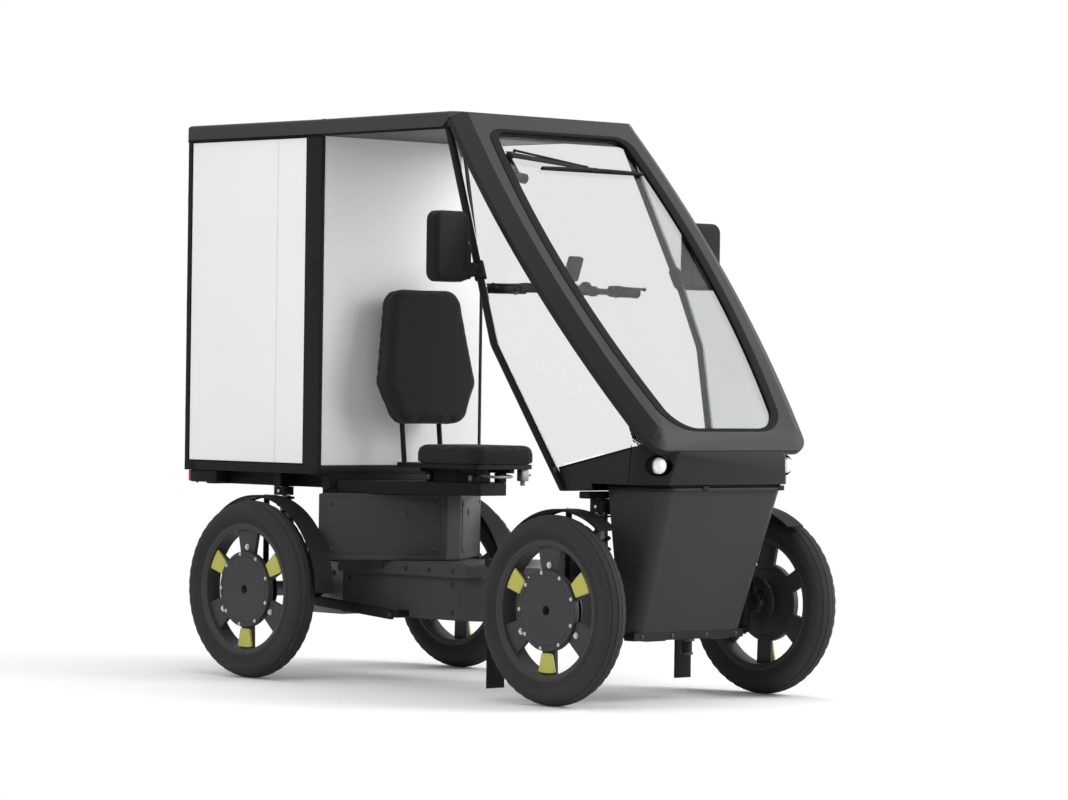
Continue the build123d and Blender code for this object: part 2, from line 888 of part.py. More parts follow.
# Windscreen frame, bevelled round its sides and sill, and the glass behind its front plate
with BuildPart() as hoop:
    extrude(screen_form(0, 0, 0, screen_length, 0, hoop_corner), amount=-hoop_thick)
    outer_face = hoop.faces().sort_by(Axis(screen_top, tuple(screen_plane().z_dir)))[-1]
    bevel_edges = outer_face.edges().sort_by(Axis.Z)[:-1]
    chamfer(bevel_edges, bevel_width, bevel_depth, reference=outer_face)
    pane_hole = screen_form(0, hoop_width, pane_top, pane_low, pane_corner_top, pane_corner)
    extrude(pane_hole, amount=-hoop_thick - 1, mode=Mode.SUBTRACT)
    pocket = screen_form(
        pane_depth, pocket_inset, pane_top - pane_lap, pane_low + pane_lap, pane_corner_top, pane_corner
    )
    extrude(pocket, amount=-hoop_thick, mode=Mode.SUBTRACT)
save(hoop, "windscreen_frame")

with BuildPart() as glass:
    glass_lap = pane_lap - 1
    glass_form = screen_form(
        pane_depth + seat_gap,
        hoop_width - glass_lap,
        pane_top - glass_lap,
        pane_low + glass_lap,
        pane_corner_top,
        pane_corner,
    )
    extrude(glass_form, amount=-glass_thick)
save(glass, "windscreen")

# Side tubes from the roof to the nose
tube_route = [
    (roof_front - 58, box_half + 24, roof_low + 20),
    (1135, box_half + 85, 1360),
    (1211, box_half + 99, 1169),
    (nose_reach - 399, box_half - 41, 650),
]
rear_slope = Vector(nose_rear_low - nose_rear_top, 0, nose_rear_low_z - nose_rear_top_z).normalized()
with BuildPart() as side_tubes:
    for side in (-1, 1):
        route = [Vector(ahead(px), side * py, pz) for px, py, pz in tube_route]
        with BuildLine() as tube_line:
            FilletPolyline(*route, radius=[tube_bend, tube_bend])
        with BuildSketch(Plane(origin=route[0], z_dir=(route[1] - route[0]).normalized())):
            Circle(tube_radius)
        sweep(path=tube_line.line)
    with BuildSketch(Plane.XY.offset(roof_low)):
        Rectangle(4000, 2000)
    extrude(amount=100, mode=Mode.SUBTRACT)
    with BuildSketch(Plane.XZ):
        low = Vector(ahead(nose_rear_low) - 0.3, nose_rear_low_z) + Vector(rear_slope.X, rear_slope.Z) * 200
        high = Vector(ahead(nose_rear_top) - 0.3, nose_rear_top_z) - Vector(rear_slope.X, rear_slope.Z) * 6
        Polygon(
            (low.X, low.Y),
            (high.X, high.Y),
            (high.X + 300, high.Y),
            (low.X + 300, low.Y),
            align=None,
        )
    extrude(amount=box_half + 100, both=True, mode=Mode.SUBTRACT)
    with BuildSketch(Plane.XY.offset(nose_rear_low_z)):
        Rectangle(4000, 2000)
    extrude(amount=-200, mode=Mode.SUBTRACT)
save(side_tubes, "side_tubes")

# Nose: upper housing with the lamps, hollow and open below
column_way = Vector(column_low_ahead - grip_ahead, 0, column_low_z - grip_z).normalized()
column_top = Vector(ahead(grip_ahead), 0, grip_z)
hoop_foot = Vector(*screen_top) + Vector(slope_cos, 0, -slope_sin) * screen_length
hoop_edge = hoop_foot - Vector(slope_sin, 0, slope_cos) * bevel_depth
hoop_heel = hoop_foot - Vector(slope_sin, 0, slope_cos) * hoop_thick
deck_end = hoop_heel + Vector(-slope_cos, 0, slope_sin) * deck_overlap
deck_start = Vector(ahead(nose_rear_top), 0, nose_rear_top_z)


def nose_form(inset, below, mode):
    """Nose housing inset from its outer faces and lengthened below, cut from its plan by its side view."""
    with BuildSketch(Plane.XY.offset(nose_rear_low_z - below)) as plan:
        Polygon(
            (ahead(nose_rear_top) - 10 + inset, inset - nose_half),
            (ahead(nose_shoulder), inset - nose_half),
            (ahead(nose_reach) - inset, inset - nose_front_half),
            (ahead(nose_reach) - inset, nose_front_half - inset),
            (ahead(nose_shoulder), nose_half - inset),
            (ahead(nose_rear_top) - 10 + inset, nose_half - inset),
            align=None,
        )
        fillet(plan.vertices().sort_by(Axis.X)[2:], 50)
    block = extrude(plan.sketch, amount=300, mode=Mode.PRIVATE)
    with BuildSketch(Plane.XZ) as view:
        Polygon(
            (ahead(nose_rear_low) + inset, nose_rear_low_z - below),
            (ahead(nose_rear_low) + inset, nose_rear_low_z),
            (ahead(nose_rear_top) + inset, nose_rear_top_z - inset),
            (deck_end.X, deck_end.Z - inset),
            (hoop_heel.X, hoop_heel.Z - inset * 1.5),
            (hoop_edge.X - inset, hoop_edge.Z - inset * 1.5),
            (ahead(lower_front_top) + 6 - inset, seam_z),
            (ahead(lower_front_top) + 6 - inset, seam_z - below),
            align=None,
        )
    profile = extrude(view.sketch, amount=nose_half + 10, both=True, mode=Mode.PRIVATE)
    add(block & profile, mode=mode)


with BuildPart() as nose_upper:
    nose_form(0, 0, Mode.ADD)
    with BuildSketch(Plane.XZ):
        Polygon(
            (ahead(nose_rear_low) - 50, nose_rear_low_z),
            (front_x + 40, nose_rear_low_z),
            (ahead(lower_front_top) - lower_depth_top, seam_z),
            (ahead(nose_reach) + 10, seam_z),
            (ahead(nose_reach) + 10, seam_z - 80),
            (ahead(nose_rear_low) - 50, seam_z - 80),
            align=None,
        )
    extrude(amount=nose_half + 10, both=True, mode=Mode.SUBTRACT)
    nose_form(nose_wall, 60, Mode.SUBTRACT)
    for side in (-1, 1):
        with BuildSketch(Plane(origin=(ahead(nose_reach) - 90, side * lamp_y, lamp_z), z_dir=(1, 0, 0))):
            Circle(lamp_radius + lamp_rim)
        extrude(amount=130, mode=Mode.SUBTRACT)
    bearing_hole = column_radius + bearing_wall + seat_gap
    hole_low = column_top + column_way * column_length
    hole_high = column_top + column_way * (column_length - 120)
    rounded_bar(tuple(hole_high), tuple(hole_low), bearing_hole, Mode.SUBTRACT)
save(nose_upper, "nose_upper")

# Nose: lower panel, a tapered wrap open at the back and below
with BuildPart() as nose_lower:
    for inset, mode in ((0, Mode.ADD), (nose_wall, Mode.SUBTRACT)):
        rear_extra = 200 if inset else 0
        with BuildSketch(Plane.XY.offset(lower_low_z)):
            with Locations((ahead(lower_front_low) - inset, 0)):
                RectangleRounded(
                    lower_depth_low * 2 + rear_extra,
                    2 * (lower_half_low - inset),
                    lower_corner - inset,
                    align=(Align.MAX, Align.CENTER),
                )
        with BuildSketch(Plane.XY.offset(seam_z)):
            with Locations((ahead(lower_front_top) - inset, 0)):
                RectangleRounded(
                    lower_depth_top * 2 + rear_extra,
                    2 * (lower_half_top - inset),
                    lower_corner - inset,
                    align=(Align.MAX, Align.CENTER),
                )
        loft(mode=mode)
    with BuildSketch(Plane.XZ):
        Polygon(
            (ahead(lower_front_low) - lower_depth_low, lower_low_z - 1),
            (ahead(lower_front_top) - lower_depth_top, seam_z + 1),
            (ahead(lower_front_top) - 900, seam_z + 1),
            (ahead(lower_front_top) - 900, lower_low_z - 1),
            align=None,
        )
    extrude(amount=nose_half, both=True, mode=Mode.SUBTRACT)
save(nose_lower, "nose_lower")

# Head lamps: domed lenses seated in the nose
with BuildPart() as head_lamps:
    for side in (-1, 1):
        lamp_front = ahead(nose_reach) - lamp_set_back
        with BuildSketch(Plane(origin=(lamp_front, side * lamp_y, lamp_z), z_dir=(1, 0, 0))):
            Circle(lamp_radius + lamp_rim - seat_gap)
        extrude(amount=-lamp_depth)
        with BuildSketch(Plane(origin=(lamp_front, side * lamp_y, lamp_z), z_dir=(1, 0, 0))):
            Circle(lamp_radius)
        extrude(amount=lamp_depth)
    fillet(head_lamps.faces().sort_by(Axis.X)[-2:].edges(), lamp_round)
save(head_lamps, "head_lamps")

# Steering column, leaning forward into the nose


def column_plane(distance):
    """Plane square to the steering column, a distance down it from the handlebar, facing down it."""
    return Plane(origin=column_top + column_way * distance, x_dir=(0, 1, 0), z_dir=column_way)


clamp_radius = bar_radius + 11
clamp_half = 30
with BuildPart() as column:
    with BuildSketch(Plane.XZ):
        with Locations((column_top.X, column_top.Z)):
            Circle(clamp_radius)
    extrude(amount=clamp_half, both=True)
    with BuildSketch(column_plane(0)):
        Circle(column_radius)
    extrude(amount=column_length)
    with BuildSketch(Plane.XZ):
        with Locations((column_top.X, column_top.Z)):
            Circle(bar_radius)
    extrude(amount=clamp_half + 1, both=True, mode=Mode.SUBTRACT)
save(column, "steering_column")

with BuildPart() as handlebar:
    route = [
        Vector(-bar_sweep, -bar_half, 0),
        Vector(0, -bar_half * 0.4, 0),
        Vector(0, bar_half * 0.4, 0),
        Vector(-bar_sweep, bar_half, 0),
    ]
    with BuildLine() as bar_line:
        FilletPolyline(*[column_top + point for point in route], radius=[60, 60])
    with BuildSketch(Plane(origin=column_top + route[0], z_dir=(route[1] - route[0]).normalized())):
        Circle(bar_radius - seat_gap)
    sweep(path=bar_line.line)
    for side in (-1, 1):
        grip_way = Vector(-bar_sweep, side * bar_half * 0.6, 0).normalized()
        grip_end = column_top + Vector(-bar_sweep, side * bar_half, 0)
        with BuildSketch(Plane(origin=grip_end + grip_way * 2, z_dir=grip_way * -1)):
            Circle(grip_radius)
        extrude(amount=grip_length)
save(handlebar, "handlebar")

with BuildPart() as display:
    display_foot = column_top + Vector(0, 0, clamp_radius + seat_gap)
    display_low = display_foot + Vector(0, 0, display_neck)
    rounded_bar(tuple(display_foot), tuple(display_low), 8)
    tilt = radians(display_tilt)
    with BuildSketch(Plane(origin=display_low + Vector(8, 0, 0), x_dir=(0, -1, 0), z_dir=(-cos(tilt), 0, sin(tilt)))):
        with Locations((0, display_height / 2 - 16)):
            RectangleRounded(display_width, display_height, 8)
    extrude(amount=display_thick)
save(display, "display")

# Bearing that carries the column on the nose
deck_way = (deck_end - deck_start).normalized()
deck_normal = Vector(-deck_way.Z, 0, deck_way.X)
deck_meet = (deck_start - column_top).dot(deck_normal) / column_way.dot(deck_normal)
with BuildPart() as bearing:
    with BuildSketch(column_plane(column_length - bearing_length - 6)):
        Circle(column_radius + bearing_wall)
    extrude(amount=bearing_length)
    with BuildSketch(Plane(origin=column_top + column_way * deck_meet, z_dir=deck_normal)):
        Circle(flange_radius)
    extrude(amount=flange_thick)
    with BuildSketch(column_plane(0)):
        Circle(column_radius + running_gap)
    extrude(amount=column_length + 10, mode=Mode.SUBTRACT)
save(bearing, "steering_bearing")

# Drive unit, crank and pedals
crank_x = ahead(crank_ahead)
with BuildPart() as drive:
    with BuildSketch(Plane.XZ):
        with Locations((crank_x, crank_z)):
            Circle(drive_radius)
        with Locations((crank_x, (crank_z + beam_high) / 2)):
            Rectangle(drive_radius * 2, crank_z - beam_high)
        with Locations((crank_x, beam_high - 50)):
            Rectangle(300, 100, mode=Mode.SUBTRACT)
        with Locations((crank_x, crank_z)):
            Circle(spindle_radius + running_gap, mode=Mode.SUBTRACT)
    extrude(amount=beam_front_half, both=True)
save(drive, "drive_unit")

with BuildPart() as crank:
    with BuildSketch(Plane.XZ):
        with Locations((crank_x, crank_z)):
            Circle(spindle_radius)
    extrude(amount=crank_arm_y, both=True)
    for side in (-1, 1):
        arm_plane = Plane(
            origin=(crank_x, side * (crank_arm_y - crank_arm_thick / 2), crank_z),
            x_dir=(side, 0, 0),
            z_dir=(0, side, 0),
        )
        with BuildSketch(arm_plane):
            with Locations((crank_arm / 2, 0)):
                SlotOverall(crank_arm + 30, 30)
        extrude(amount=crank_arm_thick)
        with BuildSketch(arm_plane):
            with Locations((crank_arm, 0)):
                Circle(pedal_axle_radius)
        extrude(amount=crank_arm_thick + pedal_length + 6)
save(crank, "crank")

for name, side in (("right", -1), ("left", 1)):
    with BuildPart() as pedal:
        pedal_x = crank_x + side * crank_arm
        pedal_plane = Plane(
            origin=(pedal_x, side * (crank_arm_y + crank_arm_thick / 2 + 3), crank_z),
            x_dir=(1, 0, 0),
            z_dir=(0, side, 0),
        )
        with BuildSketch(pedal_plane):
            RectangleRounded(pedal_width, pedal_thick, 8)
            Circle(pedal_axle_radius + running_gap, mode=Mode.SUBTRACT)
        extrude(amount=pedal_length)
    save(pedal, f"pedal_{name}")

# Mirrors on arms from the side tubes
with BuildPart() as mirrors:
    for side in (-1, 1):
        mirror_back = (ahead(mirror_ahead) - mirror_depth / 2, side * mirror_y, mirror_low + mirror_height / 2)
        with BuildSketch(Plane(origin=mirror_back, x_dir=(0, 1, 0), z_dir=(1, 0, 0))):
            RectangleRounded(mirror_width, mirror_height, mirror_corner)
        extrude(amount=mirror_depth)
        fillet(mirrors.faces().group_by(Axis.X)[-1].edges(), mirror_round)
        route = [Vector(ahead(px), side * py, pz) for px, py, pz in tube_route[:2]]
        joint = route[0] + (route[1] - route[0]) * mirror_arm_share
        knob = (ahead(mirror_ahead), side * (mirror_y - mirror_width / 2 + 12), joint.Z)
        rounded_bar(tuple(joint), knob, mirror_arm_radius)
        rounded_bar(tuple(route[0]), tuple(route[1]), tube_radius + seat_gap, Mode.SUBTRACT)
save(mirrors, "mirrors")

with BuildPart() as mirror_glasses:
    for side in (-1, 1):
        place = (ahead(mirror_ahead) - mirror_depth / 2, side * mirror_y, mirror_low + mirror_height / 2)
        with BuildSketch(Plane(origin=place, x_dir=(0, 1, 0), z_dir=(-1, 0, 0))):
            RectangleRounded(
                mirror_width - 2 * mirror_border,
                mirror_height - 2 * mirror_border,
                mirror_corner - mirror_border,
            )
        extrude(amount=glass_thick - 2)
save(mirror_glasses, "mirror_glasses")

# Rear mudguards with their stays on the axle tube
with BuildPart() as rear_guards:
    for side in (-1, 1):
        guard_strip(rear_x, side, 0, rear_guard_end)
        stay_foot = axle_z + axle_tube_radius
        with BuildSketch(side_plane(side * stay_y)):
            with Locations((-rear_x, (stay_foot + stay_top) / 2)):
                Rectangle(stay_width, stay_top - stay_foot)
        extrude(amount=stay_thick / 2, both=True)
save(rear_guards, "mudguards_rear")

# Side panes: flat facets from the tube to the back of the windscreen frame and the deck
with BuildPart() as side_panes:
    for side in (-1, 1):
        route = [Vector(ahead(px), side * py, pz) for px, py, pz in tube_route]
        frame_back = Vector(*screen_top) - Vector(slope_sin, 0, slope_cos) * hoop_thick
        frame_top = frame_back + Vector(-slope_cos, 0, slope_sin) * 30 + Vector(0, route[0].Y, 0)
        frame_wide = frame_back + Vector(slope_cos, 0, -slope_sin) * screen_wide_at
        frame_wide += Vector(0, side * (screen_half_wide - pane_seat), 0)
        frame_foot = Vector(deck_end.X + 30, side * (screen_half_low - 8), deck_end.Z - 30)
        apexes = [frame_wide, frame_wide, frame_foot]
        shifts = []
        for start, end, apex in zip(route, route[1:], apexes):
            along = (end - start).normalized()
            across = apex - start
            shifts.append((across - along * across.dot(along)).normalized())
        pane_edge = [
            point + (before + after).normalized() * (tube_radius + pane_gap)
            for point, before, after in zip(route, shifts[:1] + shifts, shifts + shifts[-1:])
        ]
        facets = list(zip(pane_edge, pane_edge[1:], apexes))
        facets.append((pane_edge[0], frame_wide, frame_top))
        facets.append((pane_edge[2], frame_foot, frame_wide))
        for corners in facets:
            facet = Face(Wire.make_polygon(list(corners)))
            extrude(facet, amount=side_pane_thick / 2, dir=(0, 1, 0), both=True)
    with BuildSketch(screen_plane(hoop_thick + seat_gap)):
        Rectangle(2000, 4000)
    extrude(amount=400, mode=Mode.SUBTRACT)
    with BuildSketch(Plane(origin=deck_start + deck_normal * seat_gap, z_dir=deck_normal)):
        Rectangle(1200, 2000)
    extrude(amount=-300, mode=Mode.SUBTRACT)
    with BuildSketch(Plane.XY.offset(roof_low - seat_gap)):
        Rectangle(4000, 2000)
    extrude(amount=200, mode=Mode.SUBTRACT)
save(side_panes, "side_panes")

# Wiper: arm and blade outside the glass, motor inside
wiper_depth = pane_depth + seat_gap
with BuildPart() as wiper:
    with BuildSketch(screen_plane(wiper_depth - seat_gap)):
        with Locations((-wiper_y, -wiper_down)):
            Circle(14)
    extrude(amount=22)
    with BuildSketch(screen_plane(wiper_depth - 12)):
        Polygon(
            (-wiper_y, -wiper_down - 7),
            (wiper_reach, -wiper_down - wiper_drop - 4),
            (wiper_reach, -wiper_down - wiper_drop + 4),
            (-wiper_y, -wiper_down + 7),
            align=None,
        )
    extrude(amount=6)
    with BuildSketch(screen_plane(wiper_depth - seat_gap)):
        with Locations((wiper_reach, -wiper_down - wiper_drop)):
            Rectangle(wiper_blade, 9)
    extrude(amount=14)
    with BuildSketch(screen_plane(wiper_depth + glass_thick + seat_gap)):
        with Locations((-wiper_y, -wiper_down - 20)):
            RectangleRounded(wiper_motor_width, wiper_motor_height, 10)
    extrude(amount=-44)
save(wiper, "wiper")
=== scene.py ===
import json
from math import atan2, cos, hypot, radians, sin, tau

import bmesh
import bpy
from mathutils import Matrix, Vector

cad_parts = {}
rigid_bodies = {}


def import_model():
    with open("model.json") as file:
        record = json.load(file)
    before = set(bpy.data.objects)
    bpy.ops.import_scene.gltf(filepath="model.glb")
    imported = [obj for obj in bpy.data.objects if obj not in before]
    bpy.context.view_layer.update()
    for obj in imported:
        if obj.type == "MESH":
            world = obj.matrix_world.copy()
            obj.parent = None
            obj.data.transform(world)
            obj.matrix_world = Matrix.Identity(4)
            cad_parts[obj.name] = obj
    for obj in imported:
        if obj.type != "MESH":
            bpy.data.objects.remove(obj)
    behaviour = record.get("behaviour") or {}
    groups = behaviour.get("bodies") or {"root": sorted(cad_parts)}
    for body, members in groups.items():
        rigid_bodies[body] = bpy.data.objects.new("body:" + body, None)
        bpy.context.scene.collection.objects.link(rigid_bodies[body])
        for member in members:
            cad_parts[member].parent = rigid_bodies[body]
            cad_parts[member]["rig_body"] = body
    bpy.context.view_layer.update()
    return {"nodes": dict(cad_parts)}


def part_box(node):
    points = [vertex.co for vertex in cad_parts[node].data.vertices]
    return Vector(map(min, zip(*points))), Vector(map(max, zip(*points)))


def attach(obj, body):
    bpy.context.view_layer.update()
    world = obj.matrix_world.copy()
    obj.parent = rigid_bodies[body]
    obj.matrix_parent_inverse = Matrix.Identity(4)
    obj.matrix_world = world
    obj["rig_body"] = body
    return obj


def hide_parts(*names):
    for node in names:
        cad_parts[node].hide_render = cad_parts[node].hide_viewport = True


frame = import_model()
nodes = frame["nodes"]

# Steps round a turned wheel and round its tread
CIRCLE = 96
TREAD = 144

# Places that the wheels, the screen and the steering are built from, in metres
AXLE_Z = 0.309
TRACK = 0.495
REAR_X = -0.6535
FRONT_X = 0.8635
WHEELS = {
    "rear_right": (REAR_X, -1),
    "rear_left": (REAR_X, 1),
    "front_right": (FRONT_X, -1),
    "front_left": (FRONT_X, 1),
}


def ahead(distance):
    """Place along the vehicle, from its distance ahead of the rear axle."""
    return REAR_X + distance


def at(distance, y, z):
    """Point from its distance ahead of the rear axle, to the left of the middle and above the ground."""
    return Vector((ahead(distance), y, z))


# The windscreen's plane: local x to the left, y up the slope, z out of the glass
RUN, DROP = 0.881, 1.061
SLOPE = hypot(RUN, DROP)
SLOPE_COS, SLOPE_SIN = RUN / SLOPE, DROP / SLOPE
SCREEN_LOW = SLOPE + 0.047
SCREEN = Matrix.Translation(at(0.948, 0, 1.946)) @ Matrix(
    ((0, 1, 0), (-SLOPE_COS, 0, SLOPE_SIN), (SLOPE_SIN, 0, SLOPE_COS))
).transposed().to_4x4()

# Camera, light and floor


def add_object(name, data):
    thing = bpy.data.objects.new(name, data)
    bpy.context.scene.collection.objects.link(thing)
    return thing


def place_camera():
    """The photograph's own view, its focal length and width in pixels."""
    eye = Vector((10.6095, -9.905, 1.055))
    yaw, pitch, roll = 2.379, -0.005, 0.014
    focal, picture, sensor = 4200, 1068, 36
    forward = Vector((cos(pitch) * cos(yaw), cos(pitch) * sin(yaw), sin(pitch)))
    level = Vector((sin(yaw), -cos(yaw), 0))
    up = level.cross(forward)
    right = level * cos(roll) + up * sin(roll)
    top = up * cos(roll) - level * sin(roll)
    data = bpy.data.cameras.new("camera")
    data.sensor_fit = "HORIZONTAL"
    data.sensor_width = sensor
    data.lens = focal / picture * sensor
    data.clip_end = 200
    camera = add_object("camera", data)
    turn = Matrix((right, top, -forward)).transposed().to_4x4()
    camera.matrix_world = Matrix.Translation(eye) @ turn
    bpy.context.scene.camera = camera


def soft_light(name, place, aim, size, power, lights=True, shines=True):
    """Rectangular lamp; it can give light only, or show in reflections only."""
    data = bpy.data.lights.new(name, "AREA")
    data.shape = "RECTANGLE"
    data.size, data.size_y = size
    data.energy = power
    light = add_object(name, data)
    light.location = place
    light.rotation_mode = "QUATERNION"
    light.rotation_quaternion = (Vector(aim) - Vector(place)).to_track_quat("-Z", "Y")
    light.visible_diffuse = lights
    light.visible_glossy = shines


def fill(tree, node, values):
    """Give each named or numbered input of a node a plain value or another node's result."""
    for title, value in values.items():
        if isinstance(value, (int, float, tuple)):
            node.inputs[title].default_value = value
        else:
            tree.links.new(value, node.inputs[title])


def add_node(tree, kind, values=None):
    node = tree.nodes.new(f"ShaderNode{kind}")
    fill(tree, node, values or {})
    return node


def object_place(tree):
    return add_node(tree, "TexCoord").outputs["Object"]


def maths(tree, operation, first, second):
    node = add_node(tree, "Math", {0: first, 1: second})
    node.operation = operation
    return node.outputs[0]


def seen_directly(tree):
    """1 where the camera, a reflection or glass sees the surface, 0 where it only gives light."""
    path = add_node(tree, "LightPath").outputs
    seen = maths(tree, "MAXIMUM", path["Is Camera Ray"], path["Is Glossy Ray"])
    return maths(tree, "MAXIMUM", seen, path["Is Transmission Ray"])


def light_studio():
    world = bpy.data.worlds.new("studio")
    bpy.context.scene.world = world
    world.use_nodes = True
    tree = world.node_tree
    strength = add_node(tree, "Mix")
    strength.data_type = "FLOAT"
    fill(tree, strength, {0: seen_directly(tree), 2: 0.36, 3: 1.0})
    fill(tree, tree.nodes["Background"], {"Strength": strength.outputs[0], "Color": (1, 1, 1, 1)})
    soft_light("key", (4.2, 3.2, 3.6), (0.3, 0, 0.9), (3.2, 3.2), 260)
    soft_light("side", (0.5, -6.0, 3.2), (0, 0, 0.9), (5, 3), 165, shines=False)
    soft_light("over", (0, 0, 5.5), (0, 0, 0), (5, 5), 130)
    soft_light("back", (-5.5, 1.5, 3.5), (0, 0, 0.9), (4, 3), 110, shines=False)
    soft_light("sheen", (4.6, 5.2, 1.6), (1.0, 0, 0.6), (7.0, 4.0), 300, lights=False)
    soft_light("upper_sheen", (1.2, 2.8, 4.2), (0.7, 0, 1.4), (2.6, 2.6), 48, lights=False)


def new_material(name, values):
    """Material with its surface's values, its node tree and the surface itself."""
    material = bpy.data.materials.new(name)
    material.use_nodes = True
    tree = material.node_tree
    surface = tree.nodes["Principled BSDF"]
    fill(tree, surface, values)
    return material, tree, surface


def blend_surface(tree, share, first, second):
    """Show one surface blended into another by a share."""
    blend = add_node(tree, "MixShader", {0: share, 1: first.outputs[0], 2: second.outputs[0]})
    fill(tree, tree.nodes["Material Output"], {"Surface": blend.outputs[0]})


def lay_floor():
    mesh = bmesh.new()
    bmesh.ops.create_circle(mesh, cap_ends=True, segments=64, radius=60)
    data = bpy.data.meshes.new("floor")
    mesh.to_mesh(data)
    floor = add_object("floor", data)
    material, tree, surface = new_material(
        "floor", {"Base Color": (0.92, 0.92, 0.92, 1), "Roughness": 0.9, "Specular IOR Level": 0.1}
    )
    seen = seen_directly(tree)
    glow = add_node(tree, "Emission", {"Strength": maths(tree, "MULTIPLY", seen, 0.03)})
    lift = add_node(tree, "AddShader", {0: surface.outputs[0], 1: glow.outputs[0]})
    # Plain white further out, so that the floor runs into the background
    reach = add_node(tree, "VectorMath", {0: object_place(tree)})
    reach.operation = "LENGTH"
    fade = add_node(tree, "MapRange", {"From Min": 1.0, "From Max": 3.2, "Value": reach.outputs["Value"]})
    fade.interpolation_type = "SMOOTHSTEP"
    share = maths(tree, "MULTIPLY", fade.outputs[0], seen)
    blend_surface(tree, share, lift, add_node(tree, "Emission"))
    data.materials.append(material)


place_camera()
light_studio()
lay_floor()
bpy.context.scene.view_settings.view_transform = "Standard"

# Shared effects: each is one node group with its own values in every finish


def new_group(name, values, results):
    group = bpy.data.node_groups.new(name, "ShaderNodeTree")
    for title, value in values:
        kind = "NodeSocketColor" if isinstance(value, tuple) else "NodeSocketFloat"
        socket = group.interface.new_socket(title, in_out="INPUT", socket_type=kind)
        socket.default_value = value
    for title, kind in results:
        group.interface.new_socket(title, in_out="OUTPUT", socket_type=kind)
    return group, group.nodes.new("NodeGroupInput").outputs, group.nodes.new("NodeGroupOutput")


def noise(group, scale, detail):
    """Noise over the object's own coordinates."""
    place = object_place(group)
    return add_node(group, "TexNoise", {"Detail": detail, "Vector": place, "Scale": scale}).outputs[0]


def mixed(tree, factor, first, second):
    """Colour between two others."""
    node = add_node(tree, "Mix")
    node.data_type = "RGBA"
    fill(tree, node, {0: factor, 6: first, 7: second})
    return node.outputs[2]


def make_tone():
    """Slow change of colour and gloss, with light dust that gathers low down."""
    group, given, out = new_group(
        "tone",
        [("Color", (0.5, 0.5, 0.5, 1)), ("Scale", 6.0), ("Amount", 0.12), ("Gloss", 0.5),
         ("Gloss Change", 0.08), ("Dust", 0.0)],
        [("Color", "NodeSocketColor"), ("Roughness", "NodeSocketFloat")],
    )
    spread = noise(group, given["Scale"], 5)
    centred = maths(group, "SUBTRACT", spread, 0.5)
    lift = maths(group, "ADD", maths(group, "MULTIPLY", centred, given["Amount"]), 1.0)
    shade = add_node(group, "HueSaturation", {"Color": given["Color"], "Value": lift})
    height = add_node(group, "SeparateXYZ", {0: object_place(group)}).outputs["Z"]
    low = add_node(group, "MapRange", {"From Min": 0.75, "From Max": 0.0, "Value": height})
    patch = maths(group, "MULTIPLY", low.outputs[0], spread)
    dust = maths(group, "MULTIPLY", patch, given["Dust"])
    swing = maths(group, "MULTIPLY", centred, given["Gloss Change"])
    gloss = maths(group, "ADD", swing, given["Gloss"])
    fill(group, out, {
        "Color": mixed(group, dust, shade.outputs[0], (0.32, 0.3, 0.27, 1)),
        "Roughness": maths(group, "ADD", gloss, dust),
    })
    return group


def make_grain():
    """Height of a fine moulded or sprayed surface."""
    group, given, out = new_group(
        "grain", [("Scale", 900.0), ("Coarse Scale", 60.0)], [("Height", "NodeSocketFloat")]
    )
    coarse = maths(group, "MULTIPLY", noise(group, given["Coarse Scale"], 2), 1.5)
    fill(group, out, {"Height": maths(group, "ADD", noise(group, given["Scale"], 2), coarse)})
    return group


def make_weave():
    """Height of a plain woven cloth on all three axes, and painted shade that is darkest in its low parts."""
    group, given, out = new_group(
        "weave", [("Scale", 1400.0)], [("Height", "NodeSocketFloat"), ("Painted Shade", "NodeSocketFloat")]
    )
    split = add_node(group, "SeparateXYZ", {0: object_place(group)}).outputs
    waves = []
    for axis in ("X", "Y", "Z"):
        waves.append(maths(group, "SINE", maths(group, "MULTIPLY", split[axis], given["Scale"]), 0))
    crossing = maths(group, "MULTIPLY", maths(group, "ADD", waves[0], waves[2]), waves[1])
    height = maths(group, "MULTIPLY", maths(group, "ADD", crossing, 2.0), 0.25)
    fill(group, out, {"Height": height, "Painted Shade": height})
    return group


TONE = make_tone()
GRAIN = make_grain()
WEAVE = make_weave()


def use_group(tree, group, values):
    node = add_node(tree, "Group")
    node.node_tree = group
    fill(tree, node, values)
    return node.outputs


def raise_surface(tree, surface, height, strength, distance):
    """Bumps on a surface."""
    bump = add_node(tree, "Bump", {"Strength": strength, "Distance": distance, "Height": height})
    fill(tree, surface, {"Normal": bump.outputs[0]})


def finish(name, color, gloss, metal=0.0, specular=0.4, change=0.12, scale=6.0, dust=0.0,
           grain=900.0, bump=0.1, coat=0.0):
    """A surface with slow changes of tone and gloss and a fine grain."""
    material, tree, surface = new_material(
        name, {"Metallic": metal, "Specular IOR Level": specular, "Coat Weight": coat, "Coat Roughness": 0.12}
    )
    tone = use_group(tree, TONE, {
        "Color": (*color, 1), "Scale": scale, "Amount": change, "Gloss": gloss, "Dust": dust,
    })
    fill(tree, surface, {"Base Color": tone["Color"], "Roughness": tone["Roughness"]})
    raise_surface(tree, surface, use_group(tree, GRAIN, {"Scale": grain})["Height"], bump, 0.0006)
    return material


